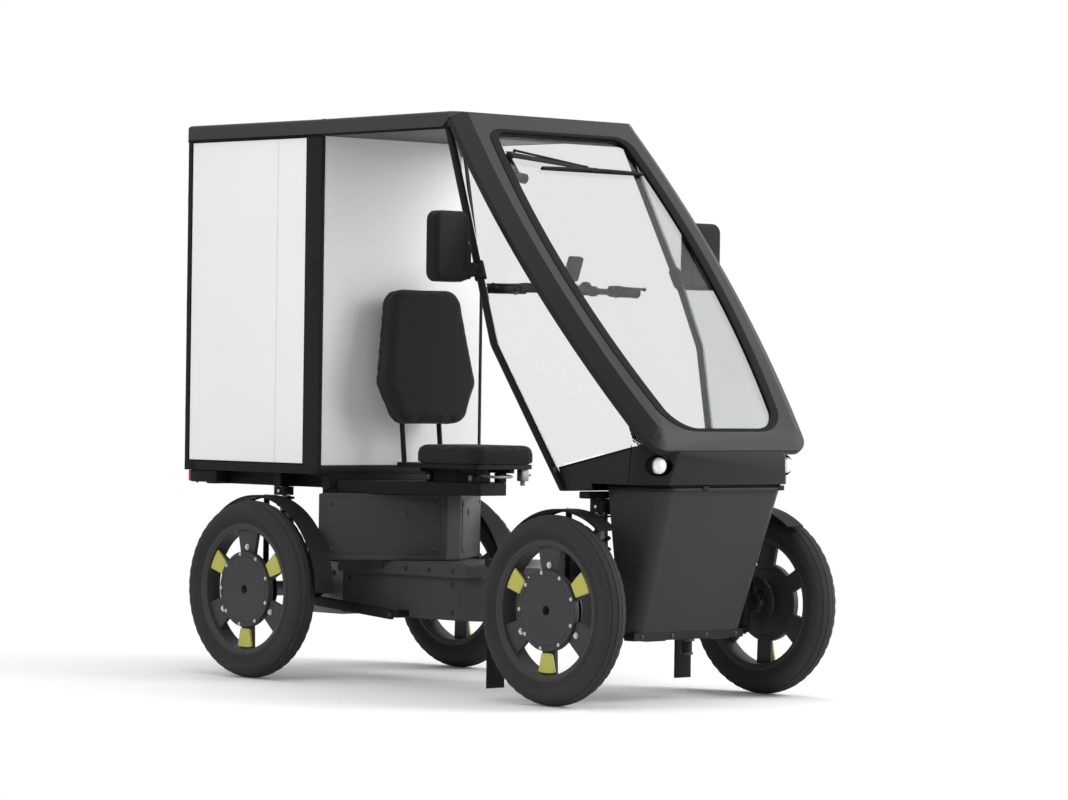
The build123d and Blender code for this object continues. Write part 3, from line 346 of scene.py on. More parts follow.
def woven(name, color, scale):
    """Cloth whose threads show in height, with painted shade darkening the low parts of the weave."""
    material, tree, surface = new_material(
        name, {"Roughness": 0.85, "Specular IOR Level": 0.12, "Sheen Weight": 0.08}
    )
    tone = use_group(tree, TONE, {"Color": (*color, 1), "Scale": 9.0, "Amount": 0.25, "Gloss": 0.85})
    cloth = use_group(tree, WEAVE, {"Scale": scale})
    dark = (*(channel * 0.55 for channel in color), 1)
    # Painted shade: the weave's low parts are mixed toward a darker copy of the cloth's colour
    fill(tree, surface, {"Base Color": mixed(tree, cloth["Painted Shade"], dark, tone["Color"])})
    raise_surface(tree, surface, cloth["Height"], 0.5, 0.0008)
    return material


def clear_pane(name, tint):
    """Glass that lets lamp light pass straight through, so what is behind it stays lit."""
    material, tree, glass = new_material(
        name, {"Base Color": (*tint, 1), "Roughness": 0.0, "IOR": 1.14, "Transmission Weight": 1.0}
    )
    open_air = add_node(tree, "BsdfTransparent", {"Color": (*(share ** 0.5 for share in tint), 1)})
    path = add_node(tree, "LightPath").outputs
    unseen = maths(tree, "MAXIMUM", path["Is Shadow Ray"], path["Is Diffuse Ray"])
    blend_surface(tree, unseen, glass, open_air)
    return material


PAINT = finish("body_paint", (0.0125, 0.0128, 0.0135), 0.42, specular=0.12, grain=500, bump=0.05)
# Painted light: a lighter copy of the body paint, for the sheen on the nose's lower panel and the roof's edge
PAINT_WITH_PAINTED_SHEEN = finish("body_paint_with_painted_sheen", (0.036, 0.0365, 0.038), 0.42, specular=0.12, grain=500, bump=0.05)
# Partly painted light: dark chassis grey with real dust low down, lightened to paint in the reflection that
# the beam and housing sides catch
SATIN_WITH_PAINTED_REFLECTION = finish("chassis_paint_painted_reflection", (0.046, 0.0465, 0.0475), 0.5, specular=0.12, dust=0.04, bump=0.12)
COATED = finish("powder_coat", (0.0095, 0.0096, 0.0098), 0.5, specular=0.09, dust=0.05, bump=0.2)
MOULDED = finish("moulded_black", (0.009, 0.009, 0.0093), 0.6, specular=0.09, dust=0.05, bump=0.35)
RUBBER = finish("tyre_rubber", (0.029, 0.029, 0.0295), 0.72, specular=0.1, dust=0.06, grain=500, bump=0.3)
SEAL = finish("seal_rubber", (0.0045, 0.0045, 0.0045), 0.6, specular=0.05, bump=0.1)
CAST = finish("wheel_cast", (0.038, 0.0385, 0.0395), 0.48, specular=0.15, dust=0.05, bump=0.12)
YELLOW = finish("accent_yellow", (0.42, 0.41, 0.085), 0.4, specular=0.4, change=0.08, bump=0.05)
WHITE = finish("box_panel", (0.8, 0.8, 0.805), 0.42, specular=0.4, change=0.035, scale=3, bump=0.06)
STEEL = finish("bright_steel", (0.55, 0.55, 0.56), 0.3, metal=1.0, change=0.1, bump=0.04)
DULL_STEEL = finish("dull_steel", (0.2, 0.2, 0.205), 0.5, metal=0.8, change=0.2, dust=0.05)
DARK_STEEL = finish("dark_steel", (0.05, 0.05, 0.052), 0.5, metal=0.7, specular=0.2, change=0.2, dust=0.04)
ALLOY = finish("brushed_alloy", (0.36, 0.36, 0.37), 0.36, metal=0.9, change=0.12)
GRIP = finish("grip_rubber", (0.009, 0.009, 0.009), 0.75, specular=0.1, bump=0.4)
AMBER = finish("amber_lens", (0.62, 0.17, 0.01), 0.2, specular=0.6, coat=0.5, bump=0.02)
PALE = finish("panel_joint", (0.6, 0.6, 0.6), 0.6, specular=0.2, change=0.05)
RED = finish("red_lens", (0.32, 0.006, 0.008), 0.15, specular=0.6, coat=0.6, bump=0.02)
LENS = finish("lamp_white", (0.86, 0.87, 0.88), 0.12, specular=0.6, coat=0.8, change=0.04, bump=0.02)
SILVERED = finish("mirror_silver", (0.8, 0.81, 0.82), 0.04, metal=1.0, change=0.02, bump=0.0)
DISPLAY = finish("display_glass", (0.006, 0.007, 0.009), 0.08, specular=0.6, coat=0.7, bump=0.0)
CLOTH = woven("seat_cloth", (0.02, 0.0205, 0.021), 2600)
GLASS = clear_pane("screen_glass", (0.7, 0.71, 0.715))
SIDE_GLASS = clear_pane("side_glass", (0.79, 0.8, 0.805))

# Making pieces


def piece(name, mesh, material, body="vehicle", stands_for=(), bevel=0.0, segments=2, sharp=35):
    """A finished piece from a bmesh that is already in its place."""
    bmesh.ops.remove_doubles(mesh, verts=mesh.verts, dist=1e-6)
    bmesh.ops.recalc_face_normals(mesh, faces=mesh.faces)
    data = bpy.data.meshes.new(name)
    mesh.to_mesh(data)
    mesh.free()
    thing = add_object(name, data)
    data.materials.append(material)
    data.shade_smooth()
    data.set_sharp_from_angle(angle=radians(sharp))
    if bevel:
        rounding = thing.modifiers.new("rounding", "BEVEL")
        rounding.width = bevel
        rounding.segments = segments
        rounding.limit_method = "ANGLE"
        rounding.angle_limit = radians(32)
        rounding.harden_normals = True
    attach(thing, body)
    if stands_for:
        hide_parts(*stands_for)


def node_mesh(node):
    """A CAD node's own shape, its flat faces whole again."""
    mesh = bmesh.new()
    mesh.from_mesh(nodes[node].data)
    bmesh.ops.remove_doubles(mesh, verts=mesh.verts, dist=2e-6)
    bmesh.ops.dissolve_limit(
        mesh, angle_limit=radians(0.6), verts=mesh.verts, edges=mesh.edges, delimit={"NORMAL"}
    )
    return mesh


def rounded_node(node, material, width, segments):
    """A CAD node's own shape with its edges rounded."""
    body = nodes[node]["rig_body"]
    piece(f"{node}_rounded", node_mesh(node), material, body, [node], width, segments)


def frame_at(place, along, across=None):
    """Matrix that puts local z along a direction and local x as near as it can to another."""
    z = Vector(along).normalized()
    near = Vector(across) if across else (Vector((1, 0, 0)) if abs(z.x) < 0.9 else Vector((0, 1, 0)))
    x = (near - z * near.dot(z)).normalized()
    y = z.cross(x)
    return Matrix.Translation(place) @ Matrix((x, y, z)).transposed().to_4x4()


def put(mesh, part, matrix=None):
    """Add a finished part to a piece, in its place."""
    if matrix is not None:
        bmesh.ops.transform(part, matrix=matrix, verts=part.verts)
    carrier = bpy.data.meshes.new("carrier")
    part.to_mesh(carrier)
    part.free()
    mesh.from_mesh(carrier)
    bpy.data.meshes.remove(carrier)


def add_turned(mesh, profile, matrix, steps=CIRCLE):
    """Spin a profile of (along, radius) points round local z; a closed profile repeats its first point."""
    closed = profile[0] == profile[-1]
    part = bmesh.new()
    verts = [part.verts.new((radius, 0, along)) for along, radius in (profile[:-1] if closed else profile)]
    pairs = list(zip(verts, verts[1:])) + ([(verts[-1], verts[0])] if closed else [])
    edges = [part.edges.new(pair) for pair in pairs]
    bmesh.ops.spin(
        part, geom=verts + edges, cent=(0, 0, 0), axis=(0, 0, 1), angle=tau, steps=steps, use_merge=True
    )
    bmesh.ops.remove_doubles(part, verts=part.verts, dist=1e-6)
    bmesh.ops.recalc_face_normals(part, faces=part.faces)
    put(mesh, part, matrix)


def add_ring(mesh, low, high, inner, outer, matrix, steps=32):
    """Plain ring round local z, from one height to another."""
    add_turned(mesh, [(low, inner), (low, outer), (high, outer), (high, inner), (low, inner)], matrix, steps)


def add_rod(mesh, start, end, radius, steps=20):
    """Round bar between two points, with chamfered ends."""
    start, end = Vector(start), Vector(end)
    length = (end - start).length
    edge = min(radius * 0.2, length * 0.2)
    profile = [(0, 0), (0, radius - edge), (edge, radius), (length - edge, radius), (length, radius - edge),
               (length, 0)]
    add_turned(mesh, profile, frame_at(start, end - start), steps)


def round_off(part, geom, offset, kind="EDGES", segments=2):
    bmesh.ops.bevel(
        part, geom=geom, offset=offset, affect=kind, segments=segments, profile=0.5, material=-1
    )


def add_block(mesh, low, high, edge=0.0, matrix=None, segments=2):
    """Box between two corners with its edges bevelled."""
    low, high = Vector(low), Vector(high)
    part = bmesh.new()
    bmesh.ops.create_cube(part, size=1)
    bmesh.ops.scale(part, vec=high - low, verts=part.verts)
    bmesh.ops.translate(part, vec=(low + high) / 2, verts=part.verts)
    if edge:
        round_off(part, part.edges[:], edge, segments=segments)
    put(mesh, part, matrix)


def add_side_block(mesh, side, low, high, edge=0.0, segments=2):
    """Block given for the left side, by its distances ahead of the rear axle, made on either side."""
    near, far = sorted((side * low[1], side * high[1]))
    add_block(mesh, at(low[0], near, low[2]), at(high[0], far, high[2]), edge, None, segments)


def add_plate(mesh, corners, depth, matrix=None, radius=0.0, edge=0.0, segments=6):
    """Flat plate from a few corners in local x and y, rounded at its corners, extruded along local z."""
    part = bmesh.new()
    verts = [part.verts.new((x, y, 0)) for x, y in corners]
    part.faces.new(verts)
    if radius:
        for vert in verts:
            round_off(part, [vert], radius, "VERTICES", segments)
    made = bmesh.ops.extrude_face_region(part, geom=part.faces[:])
    bmesh.ops.translate(
        part, vec=(0, 0, depth), verts=[v for v in made["geom"] if isinstance(v, bmesh.types.BMVert)]
    )
    bmesh.ops.recalc_face_normals(part, faces=part.faces)
    if edge:
        flat = {f for f in part.faces if abs(f.normal.z) > 0.9}
        rims = [e for e in part.edges if len(flat.intersection(e.link_faces)) == 1]
        round_off(part, rims, edge)
    put(mesh, part, matrix)


def add_bolt(mesh, place, along, radius=0.005, height=0.004):
    """Hexagon head on a washer."""
    matrix = frame_at(place, along)
    foot, wide = height * 0.25, radius * 1.5
    add_turned(mesh, [(0, 0), (0, wide), (foot, wide), (foot, 0)], matrix, 20)
    head = [(foot, 0), (foot, radius), (height * 0.9, radius), (height, radius * 0.85), (height, 0)]
    add_turned(mesh, head, matrix, 6)


def skin_rings(part, rings, closed=False):
    """Faces between rings of as many points each, with end faces unless the last joins the first."""
    for low, high in zip(rings, rings[1:] + rings[:1] if closed else rings[1:]):
        for i in range(len(low)):
            j = (i + 1) % len(low)
            part.faces.new((low[i], low[j], high[j], high[i]))
    if not closed:
        part.faces.new(rings[0])
        part.faces.new(rings[-1])


def add_tube(mesh, path, radius, sides=12, tip=None):
    """Round tube along a path, tapering to another radius at its end if one is given."""
    path = [Vector(point) for point in path]
    part = bmesh.new()
    rings = []
    across = None
    last = len(path) - 1
    for index, point in enumerate(path):
        way = (path[min(index + 1, last)] - path[max(index - 1, 0)]).normalized()
        across = way.orthogonal() if across is None else across
        across = (across - way * across.dot(way)).normalized()
        other = way.cross(across)
        size = radius if tip is None else radius + (tip - radius) * index / last
        turns = [tau * i / sides for i in range(sides)]
        rings.append([
            part.verts.new(point + across * (size * cos(turn)) + other * (size * sin(turn))) for turn in turns
        ])
    skin_rings(part, rings)
    put(mesh, part)


def bent(points, bend, steps=6):
    """A path through points with its inner corners rounded."""
    points = [Vector(point) for point in points]
    path = [points[0]]
    for before, corner, after in zip(points, points[1:], points[2:]):
        first = corner + (before - corner).normalized() * bend
        last = corner + (after - corner).normalized() * bend
        for step in range(steps + 1):
            t = step / steps
            path.append(first * (1 - t) ** 2 + corner * (2 * t * (1 - t)) + last * t ** 2)
    return path + [points[-1]]


def add_strip(mesh, start, end, across, width, height, edge=0.0):
    """Straight strip between two points: its width runs along a direction, its height square to it."""
    start, end = Vector(start), Vector(end)
    matrix = frame_at(start, end - start, across)
    add_block(mesh, (-width / 2, -height / 2, 0), (width / 2, height / 2, (end - start).length), edge, matrix)


def rectangle(width, height, x=0.0, y=0.0):
    """Corners for add_plate, round a middle."""
    return [(x - width / 2, y - height / 2), (x + width / 2, y - height / 2),
            (x + width / 2, y + height / 2), (x - width / 2, y + height / 2)]


def bowed(start, middle, end, steps=28):
    """Points of the circle arc through three points."""
    (ax, ay), (bx, by), (cx, cy) = start, middle, end
    scale = 2 * (ax * (by - cy) + bx * (cy - ay) + cx * (ay - by))
    sums = [x * x + y * y for x, y in (start, middle, end)]
    ux = (sums[0] * (by - cy) + sums[1] * (cy - ay) + sums[2] * (ay - by)) / scale
    uy = (sums[0] * (cx - bx) + sums[1] * (ax - cx) + sums[2] * (bx - ax)) / scale
    radius = hypot(ax - ux, ay - uy)
    first, last = atan2(ay - uy, ax - ux), atan2(cy - uy, cx - ux)
    turns = [first + (last - first) * i / steps for i in range(steps + 1)]
    return [(ux + radius * cos(turn), uy + radius * sin(turn)) for turn in turns]


def screen_outline(inset, top, low, corner_top, corner_low):
    """Outline on the windscreen plane, its bowed sides inset from the frame's and its corners rounded."""
    right = bowed((0.434 - inset, -top), (0.472 - inset, -0.53), (0.364 - inset, -low))
    loop = [Vector(point) for point in right + [(-x, y) for x, y in reversed(right)]]
    last = len(right) - 1
    corners = {0: corner_top, last: corner_low, last + 1: corner_low, len(loop) - 1: corner_top}
    outline = []
    for index, point in enumerate(loop):
        if index not in corners:
            if all((point - loop[i]).length > radius for i, radius in corners.items()):
                outline.append(point)
            continue
        radius = corners[index]
        first = point + (loop[index - 1] - point).normalized() * radius
        final = point + (loop[(index + 1) % len(loop)] - point).normalized() * radius
        pull = 0.552
        near, far = first.lerp(point, pull), final.lerp(point, pull)
        for step in range(9):
            t = step / 8
            outline.append(first * (1 - t) ** 3 + near * (3 * t * (1 - t) ** 2) + far * (3 * t * t * (1 - t))
                           + final * t ** 3)
    return outline


def add_band(mesh, outline, section, matrix, narrow=1.0):
    """Section of (outward, up) points swept round a flat outline, narrower along its top and bottom."""
    part = bmesh.new()
    rings = []
    for index, point in enumerate(outline):
        way = (outline[(index + 1) % len(outline)] - outline[index - 1]).normalized()
        out = Vector((-way.y, way.x))
        share = narrow + (1 - narrow) * out.x ** 2
        rings.append([
            part.verts.new((*(point + out * (step * (share if step > 0 else 1))), up)) for step, up in section
        ])
    skin_rings(part, rings, closed=True)
    bmesh.ops.recalc_face_normals(part, faces=part.faces)
    put(mesh, part, matrix)


# Wheels


def wheel_matrix(x, side):
    """Local z outward along the axle, local y up."""
    turn = Matrix(((-side, 0, 0), (0, 0, 1), (0, side, 0))).transposed().to_4x4()
    return Matrix.Translation((x, side * TRACK, AXLE_Z)) @ turn


def tyre_profile():
    """Half of a road tyre's section, mirrored: bead, ringed sidewall, shoulder and grooved crown."""
    bead, belly = (0.0352, 0.2242), (0.0516, 0.262)
    side = [bead]
    for radius in (0.234, 0.24, 0.247, 0.254):
        share = (radius - bead[1]) / (belly[1] - bead[1])
        out = bead[0] + (belly[0] - bead[0]) * share
        side += [(out, radius - 0.0014), (out + 0.0008, radius - 0.0006), (out + 0.0008, radius + 0.0006),
                 (out, radius + 0.0014)]
    side += [belly, (0.0515, 0.269), (0.0502, 0.2765), (0.048, 0.283)]
    crown_radius, crown_centre = 0.0595, 0.2495
    crown = []
    for angle in (50, 44, 38, 33, 30.6, 30, 28.8, 28.2, 24, 18, 12, 9.8, 9.2, 7.8, 7.2, 4):
        deep = 0.0024 if angle in (30, 28.8, 9.2, 7.8) else 0
        crown.append(((crown_radius - deep) * sin(radians(angle)),
                      crown_centre + (crown_radius - deep) * cos(radians(angle))))
    half = side + crown
    return half + [(0, 0.309)] + [(-a, r) for a, r in reversed(half)] + [bead]


def cut_sipes(mesh, matrix):
    """Small notches across every third step of the tread's shoulders."""
    shoulder, inner, outer, deep = 0.287, 0.012, 0.047, 0.0022
    back = matrix.inverted()
    for vert in mesh.verts:
        place = back @ vert.co
        radius = hypot(place.x, place.y)
        step = round((atan2(place.y, place.x) / tau) % 1 * TREAD)
        if radius > shoulder and inner < abs(place.z) < outer and step % 3 == 0:
            place.x *= 1 - deep / radius
            place.y *= 1 - deep / radius
            vert.co = matrix @ place


def rim_profile():
    """Section of the rim: its two flanges with the well between them."""
    half = [(0.033, 0.2237), (0.0345, 0.2285), (0.0365, 0.2297), (0.0383, 0.2285), (0.0385, 0.2205),
            (0.0335, 0.214), (0.03, 0.208), (0.02, 0.2062)]
    return half + [(-a, r) for a, r in reversed(half)] + [half[0]]


def add_spoke(mesh, matrix, angle, root, tip, low, high):
    """Flat spoke between hub disc and rim, from its half widths and its two heights."""
    turn = matrix @ Matrix.Rotation(radians(angle - 90), 4, "Z") @ Matrix.Translation((0, 0, low))
    start, end = 0.112, 0.2085
    corners = [(-root, start), (root, start), (tip, end), (-tip, end)]
    add_plate(mesh, corners, high - low, turn, edge=0.003)


def build_wheel(name, x, side):
    matrix = wheel_matrix(x, side)
    body = f"wheel_{name}"
    tyre = bmesh.new()
    add_turned(tyre, tyre_profile(), matrix, TREAD)
    cut_sipes(tyre, matrix)
    piece(f"{name}_tyre", tyre, RUBBER, body, [f"tyre_{name}"], sharp=50)

    cast = bmesh.new()
    add_turned(cast, rim_profile(), matrix)
    disc = [(0.011, 0.014), (0.0325, 0.015), (0.034, 0.0165), (0.034, 0.113), (0.0328, 0.114),
            (0.0328, 0.116), (0.034, 0.117), (0.034, 0.129), (0.031, 0.132), (0.012, 0.132), (0.01, 0.13),
            (0.01, 0.034), (-0.04, 0.034), (-0.048, 0.028), (-0.048, 0.014), (0.011, 0.014)]
    add_turned(cast, disc, matrix)
    for angle in (90, 210, 330):
        add_spoke(cast, matrix, angle, 0.034, 0.055, 0.004, 0.02)
    for angle in (30, 150, 270):
        add_spoke(cast, matrix, angle, 0.03, 0.033, 0.004, 0.018)
    piece(f"{name}_wheel", cast, CAST, body, [f"rim_{name}"])

    accents = bmesh.new()
    for angle in (30, 150, 270):
        turn = matrix @ Matrix.Rotation(radians(angle - 90), 4, "Z") @ Matrix.Translation((0, 0, 0.0185))
        corners = [(-0.024, 0.137), (0.024, 0.137), (0.0375, 0.1985), (0.013, 0.2015), (-0.013, 0.2015),
                   (-0.0375, 0.1985)]
        add_plate(accents, corners, 0.0095, turn, radius=0.004, edge=0.002, segments=3)
    piece(f"{name}_accents", accents, YELLOW, body, [f"wheel_accents_{name}"])

    fixings = bmesh.new()
    out = matrix.to_3x3() @ Vector((0, 0, 1))
    for count, start, circle, height, size in ((9, 100, 0.1235, 0.0338, (0.0042, 0.0045)),
                                               (3, 90, 0.147, 0.0198, (0.007, 0.007))):
        for step in range(count):
            angle = radians(start + 360 / count * step)
            add_bolt(fixings, matrix @ Vector((circle * cos(angle), circle * sin(angle), height)), out, *size)
    piece(f"{name}_wheel_bolts", fixings, STEEL, body)

    brake = bmesh.new()
    ring = [(-0.046, 0.06), (-0.046, 0.0875), (-0.0455, 0.088), (-0.0425, 0.088), (-0.042, 0.0875),
            (-0.042, 0.06), (-0.046, 0.06)]
    add_turned(brake, ring, matrix, 72)
    for step in range(6):
        angle = radians(60 * step)
        turn = matrix @ Matrix.Rotation(angle, 4, "Z") @ Matrix.Translation((0, 0, -0.0455))
        add_plate(brake, [(-0.007, 0.026), (0.007, 0.026), (0.005, 0.062), (-0.005, 0.062)], 0.003, turn)
    piece(f"{name}_brake_disc", brake, DARK_STEEL, body)


for wheel_name, (wheel_x, wheel_side) in WHEELS.items():
    build_wheel(wheel_name, wheel_x, wheel_side)


# Structure pieces that keep their own shape: finish, width and steps of the rounded edges, nodes

ROUNDED = (
    (PAINT, 0.004, 3, "windscreen_frame"),
    (PAINT, 0.002, 2, "nose_upper"),
    # Painted light: the nose's lower panel takes the lighter copy of the body paint
    (PAINT_WITH_PAINTED_SHEEN, 0.0012, 2, "nose_lower"),
    (WHITE, 0.001, 1, "box_wall_right", "box_wall_left", "box_wall_front"),
    (WHITE, 0.0015, 2, "back_door_right", "back_door_left"),
    (ALLOY, 0.001, 1, "box_floor"),
    (ALLOY, 0.002, 2, "crank"),
    # Painted reflection: the beam and the seat housing take the lightened chassis grey
    (SATIN_WITH_PAINTED_REFLECTION, 0.005, 3, "main_beam"),
    (SATIN_WITH_PAINTED_REFLECTION, 0.006, 3, "seat_housing"),
    (DULL_STEEL, 0.004, 2, "rear_axle"),
    (DULL_STEEL, 0.001, 1, "dampers"),
    (COATED, 0.004, 2, "front_frame"),
    (COATED, 0.003, 2, "box_subframe", "front_rail"),
    (COATED, 0.002, 2, "box_frame", "seat_frame", "upright_right", "upright_left"),
    (COATED, 0.0015, 2, "front_arms", "steering_bearing"),
    (COATED, 0.0012, 2, "steering_column"),
    (COATED, 0.0008, 2, "handlebar"),
    (COATED, 0.0005, 1, "side_tubes"),
    (MOULDED, 0.006, 3, "mirrors"),
    (MOULDED, 0.005, 3, "battery_case"),
    (MOULDED, 0.004, 3, "drive_unit"),
    (MOULDED, 0.002, 2, "display", "pedal_right", "pedal_left"),
    (MOULDED, 0.001, 2, "mudguard_front_right", "mudguard_front_left", "mudguards_rear"),
    (SILVERED, 0.0005, 1, "mirror_glasses"),
    (GLASS, 0.0005, 1, "windscreen"),
    (SIDE_GLASS, 0.0, 0, "side_panes"),
)
for node_finish, edge_width, edge_steps, *node_names in ROUNDED:
    for node_name in node_names:
        rounded_node(node_name, node_finish, edge_width, edge_steps)


def build_roof():
    """Roof: its front corners are cut in line with the windscreen frame's side bevel."""
    mesh = node_mesh("roof")
    for side in (-1, 1):
        inner, outer = Vector((side * 0.377, 0, 0)), Vector((side * 0.434, 0, -0.031))
        member = Vector((side * 0.038, -0.53, 0))
        out = (outer - inner).cross(member).normalized()
        out *= 1 if out.x * side > 0 else -1
        cut = bmesh.ops.bisect_plane(
            mesh, geom=[*mesh.verts, *mesh.edges, *mesh.faces], plane_co=SCREEN @ inner,
            plane_no=SCREEN.to_3x3() @ out, clear_outer=True,
        )
        rim = [part for part in cut["geom_cut"] if isinstance(part, bmesh.types.BMEdge)]
        bmesh.ops.holes_fill(mesh, edges=rim)
    # Painted light: the roof takes the lighter copy of the body paint
    piece("roof_shell", mesh, PAINT_WITH_PAINTED_SHEEN, "vehicle", ["roof"], 0.005, 3)


def build_screen():
    """Windscreen: black band round the glass, wiper."""
    band = bmesh.new()
    outline = screen_outline(0.134, 0.08, SCREEN_LOW - 0.066, 0.045, 0.09)
    section = [(-0.004, -0.0101), (-0.004, 0.0008), (0.0, 0.0022), (0.033, 0.0022), (0.035, 0.0002),
               (0.0006, 0.0002), (0.0006, -0.0101)]
    add_band(band, outline, section, SCREEN, 0.25)
    piece("screen_band", band, SEAL)
    lip = bmesh.new()
    inner = screen_outline(0.066, 0.068, SCREEN_LOW - 0.054, 0.045, 0.09)
    section = [(-0.003, -0.045), (-0.003, -0.051), (0.006, -0.0535), (0.006, -0.0522), (0.0002, -0.0505),
               (0.0002, -0.045)]
    add_band(lip, inner, section, SCREEN)
    piece("screen_frame_lip", lip, SEAL)

    wiper = bmesh.new()
    pivot, far = Vector((-0.292, -0.19, 0)), Vector((0.07, -0.236, 0))
    way = (far - pivot).normalized()
    square = Vector((-way.y, way.x, 0))
    cap = [(-0.01, 0), (-0.01, 0.014), (-0.002, 0.014), (-0.002, 0.011), (0.009, 0.01), (0.0115, 0.007),
           (0.012, 0)]
    add_turned(wiper, cap, SCREEN @ Matrix.Translation(pivot), 32)
    corners = [pivot - way * 0.014 - square * 0.012, far - square * 0.006, far + square * 0.006,
               pivot - way * 0.014 + square * 0.012]
    corners = [(corner.x, corner.y) for corner in corners]
    add_plate(wiper, corners, 0.005, SCREEN @ Matrix.Translation((0, 0, 0.001)), edge=0.0012)
    start, end = pivot + Vector((0.03, 0.02, 0.004)), far + Vector((-0.03, 0.01, 0.004))
    add_rod(wiper, SCREEN @ start, SCREEN @ end, 0.0042, 12)
    for place in (start, end):
        add_turned(wiper, [(-0.006, 0), (-0.006, 0.005), (0.003, 0.005), (0.003, 0)],
                   SCREEN @ Matrix.Translation(place), 16)
    blade, rise = 0.24, 0.006
    steps = [-0.238 + 0.0238 * i for i in range(21)]
    bow = [SCREEN @ Vector((far.x + x, far.y, -0.0035 + rise * (1 - (x / blade) ** 2))) for x in steps]
    add_tube(wiper, bow, 0.006, 8)
    add_block(wiper, (far.x - blade, far.y - 0.0035, -0.0101), (far.x + blade, far.y + 0.0035, -0.003), 0.0,
              SCREEN)
    add_block(wiper, (far.x - 0.022, far.y - 0.008, -0.002), (far.x + 0.022, far.y + 0.008, 0.006), 0.002,
              SCREEN)
    add_block(wiper, (-0.315, -0.25, -0.0595), (-0.269, -0.17, -0.016), 0.006, SCREEN, 3)
    add_turned(wiper, [(0, 0), (0, 0.017), (0.06, 0.017), (0.064, 0.013), (0.064, 0)],
               SCREEN @ frame_at((-0.292, -0.246, -0.04), (1, -0.2, 0)), 28)
    inward = SCREEN.to_3x3() @ Vector((0, 0, -1))
    for x, y in ((-0.309, -0.176), (-0.275, -0.176), (-0.309, -0.244), (-0.275, -0.244)):
        add_bolt(wiper, SCREEN @ Vector((x, y, -0.059)), inward, 0.003, 0.003)
    piece("wiper_set", wiper, MOULDED, "vehicle", ["wiper"])


def build_nose():
    """Nose: lamps in near-black cups that paint the shade of the lamp recess, the dark joint with its bead,
    clips and panel lines.
    """
    lenses, shade_cups = bmesh.new(), bmesh.new()
    for side in (-1, 1):
        matrix = frame_at(at(1.79, side * 0.297, 0.782), (1, 0, 0))
        lens = [(-0.024, 0), (-0.024, 0.026), (0.004, 0.027), (0.012, 0.0245), (0.018, 0.019), (0.0215, 0.01),
                (0.0225, 0)]
        add_turned(lenses, lens, matrix, 48)
        # Painted shade: the cup round each lamp is coloured near-black for the shade in the lamp's recess
        cup = [(-0.0255, 0.0), (-0.0255, 0.0345), (0.002, 0.0345), (0.002, 0.0325), (-0.01, 0.03),
               (-0.01, 0.0275), (-0.0245, 0.027), (-0.0245, 0.0)]
        add_turned(shade_cups, cup, matrix, 48)
    piece("lamp_lenses", lenses, LENS, "vehicle", ["head_lamps"])
    piece("lamp_cups_painted_shade", shade_cups, SEAL)

    # Plan outline of the lower panel's top edge, followed by the joint and by the bead below it
    front, half, corner = ahead(1.809), 0.285, 0.046
    path = [(ahead(1.552), -half)]
    for angle in range(0, 91, 10):
        turn = radians(angle)
        path.append((front - corner + corner * sin(turn), -half + corner - corner * cos(turn)))
    path += [(x, -y) for x, y in reversed(path)]
    for name, material, height, low, out in (("nose_joint", SEAL, 0.0085, 0.7102, -0.0006),
                                             ("nose_bead", PAINT, 0.01, 0.6985, 0.0045)):
        strip = bmesh.new()
        rings = []
        for index, (x, y) in enumerate(path):
            before, after = path[max(index - 1, 0)], path[min(index + 1, len(path) - 1)]
            way = (Vector(after) - Vector(before)).normalized()
            top, crest = low + height, out + 0.0015
            section = [(-0.003, low), (out, low), (crest, low + 0.002), (crest, top - 0.002), (out, top),
                       (-0.003, top)]
            rings.append([strip.verts.new((x + way.y * o, y - way.x * o, z)) for o, z in section])
        skin_rings(strip, rings)
        bmesh.ops.recalc_face_normals(strip, faces=strip.faces)
        piece(name, strip, material)
    clips = bmesh.new()
    for y in (-0.103, 0.255):
        add_block(clips, at(1.805, y - 0.014, 0.699), at(1.8165, y + 0.014, 0.7155), 0.002)
    lines = bmesh.new()
    for side in (-1, 1):
        add_strip(lines, at(1.728, side * 0.3598, 0.847), at(1.716, side * 0.3598, 0.722), (1, 0, 0),
                  0.003, 0.0012)
        add_strip(lines, at(1.402, side * 0.3602, 0.7665), at(1.722, side * 0.3602, 0.8345), (0, 1, 0),
                  0.001, 0.004)
    piece("nose_clips", clips, MOULDED)
    piece("nose_panel_lines", lines, SEAL)

    rail = bmesh.new()
    for y in (-0.15, 0.15):
        add_block(rail, at(1.612, y - 0.045, 0.2045), at(1.645, y + 0.045, 0.2085), 0.0015)
    for y in (-0.22, -0.08, 0.08, 0.22):
        add_bolt(rail, at(1.6495, y, 0.221), (1, 0, 0), 0.005)
    hook = ahead(1.638)
    add_ring(rail, 0, 0.006, 0.0182, 0.026, Matrix.Translation((hook, 0, 0.2015)))
    add_ring(rail, 0, 0.008, 0.0182, 0.0215, Matrix.Translation((hook, 0, 0.1565)))
    piece("rail_fittings", rail, DARK_STEEL)


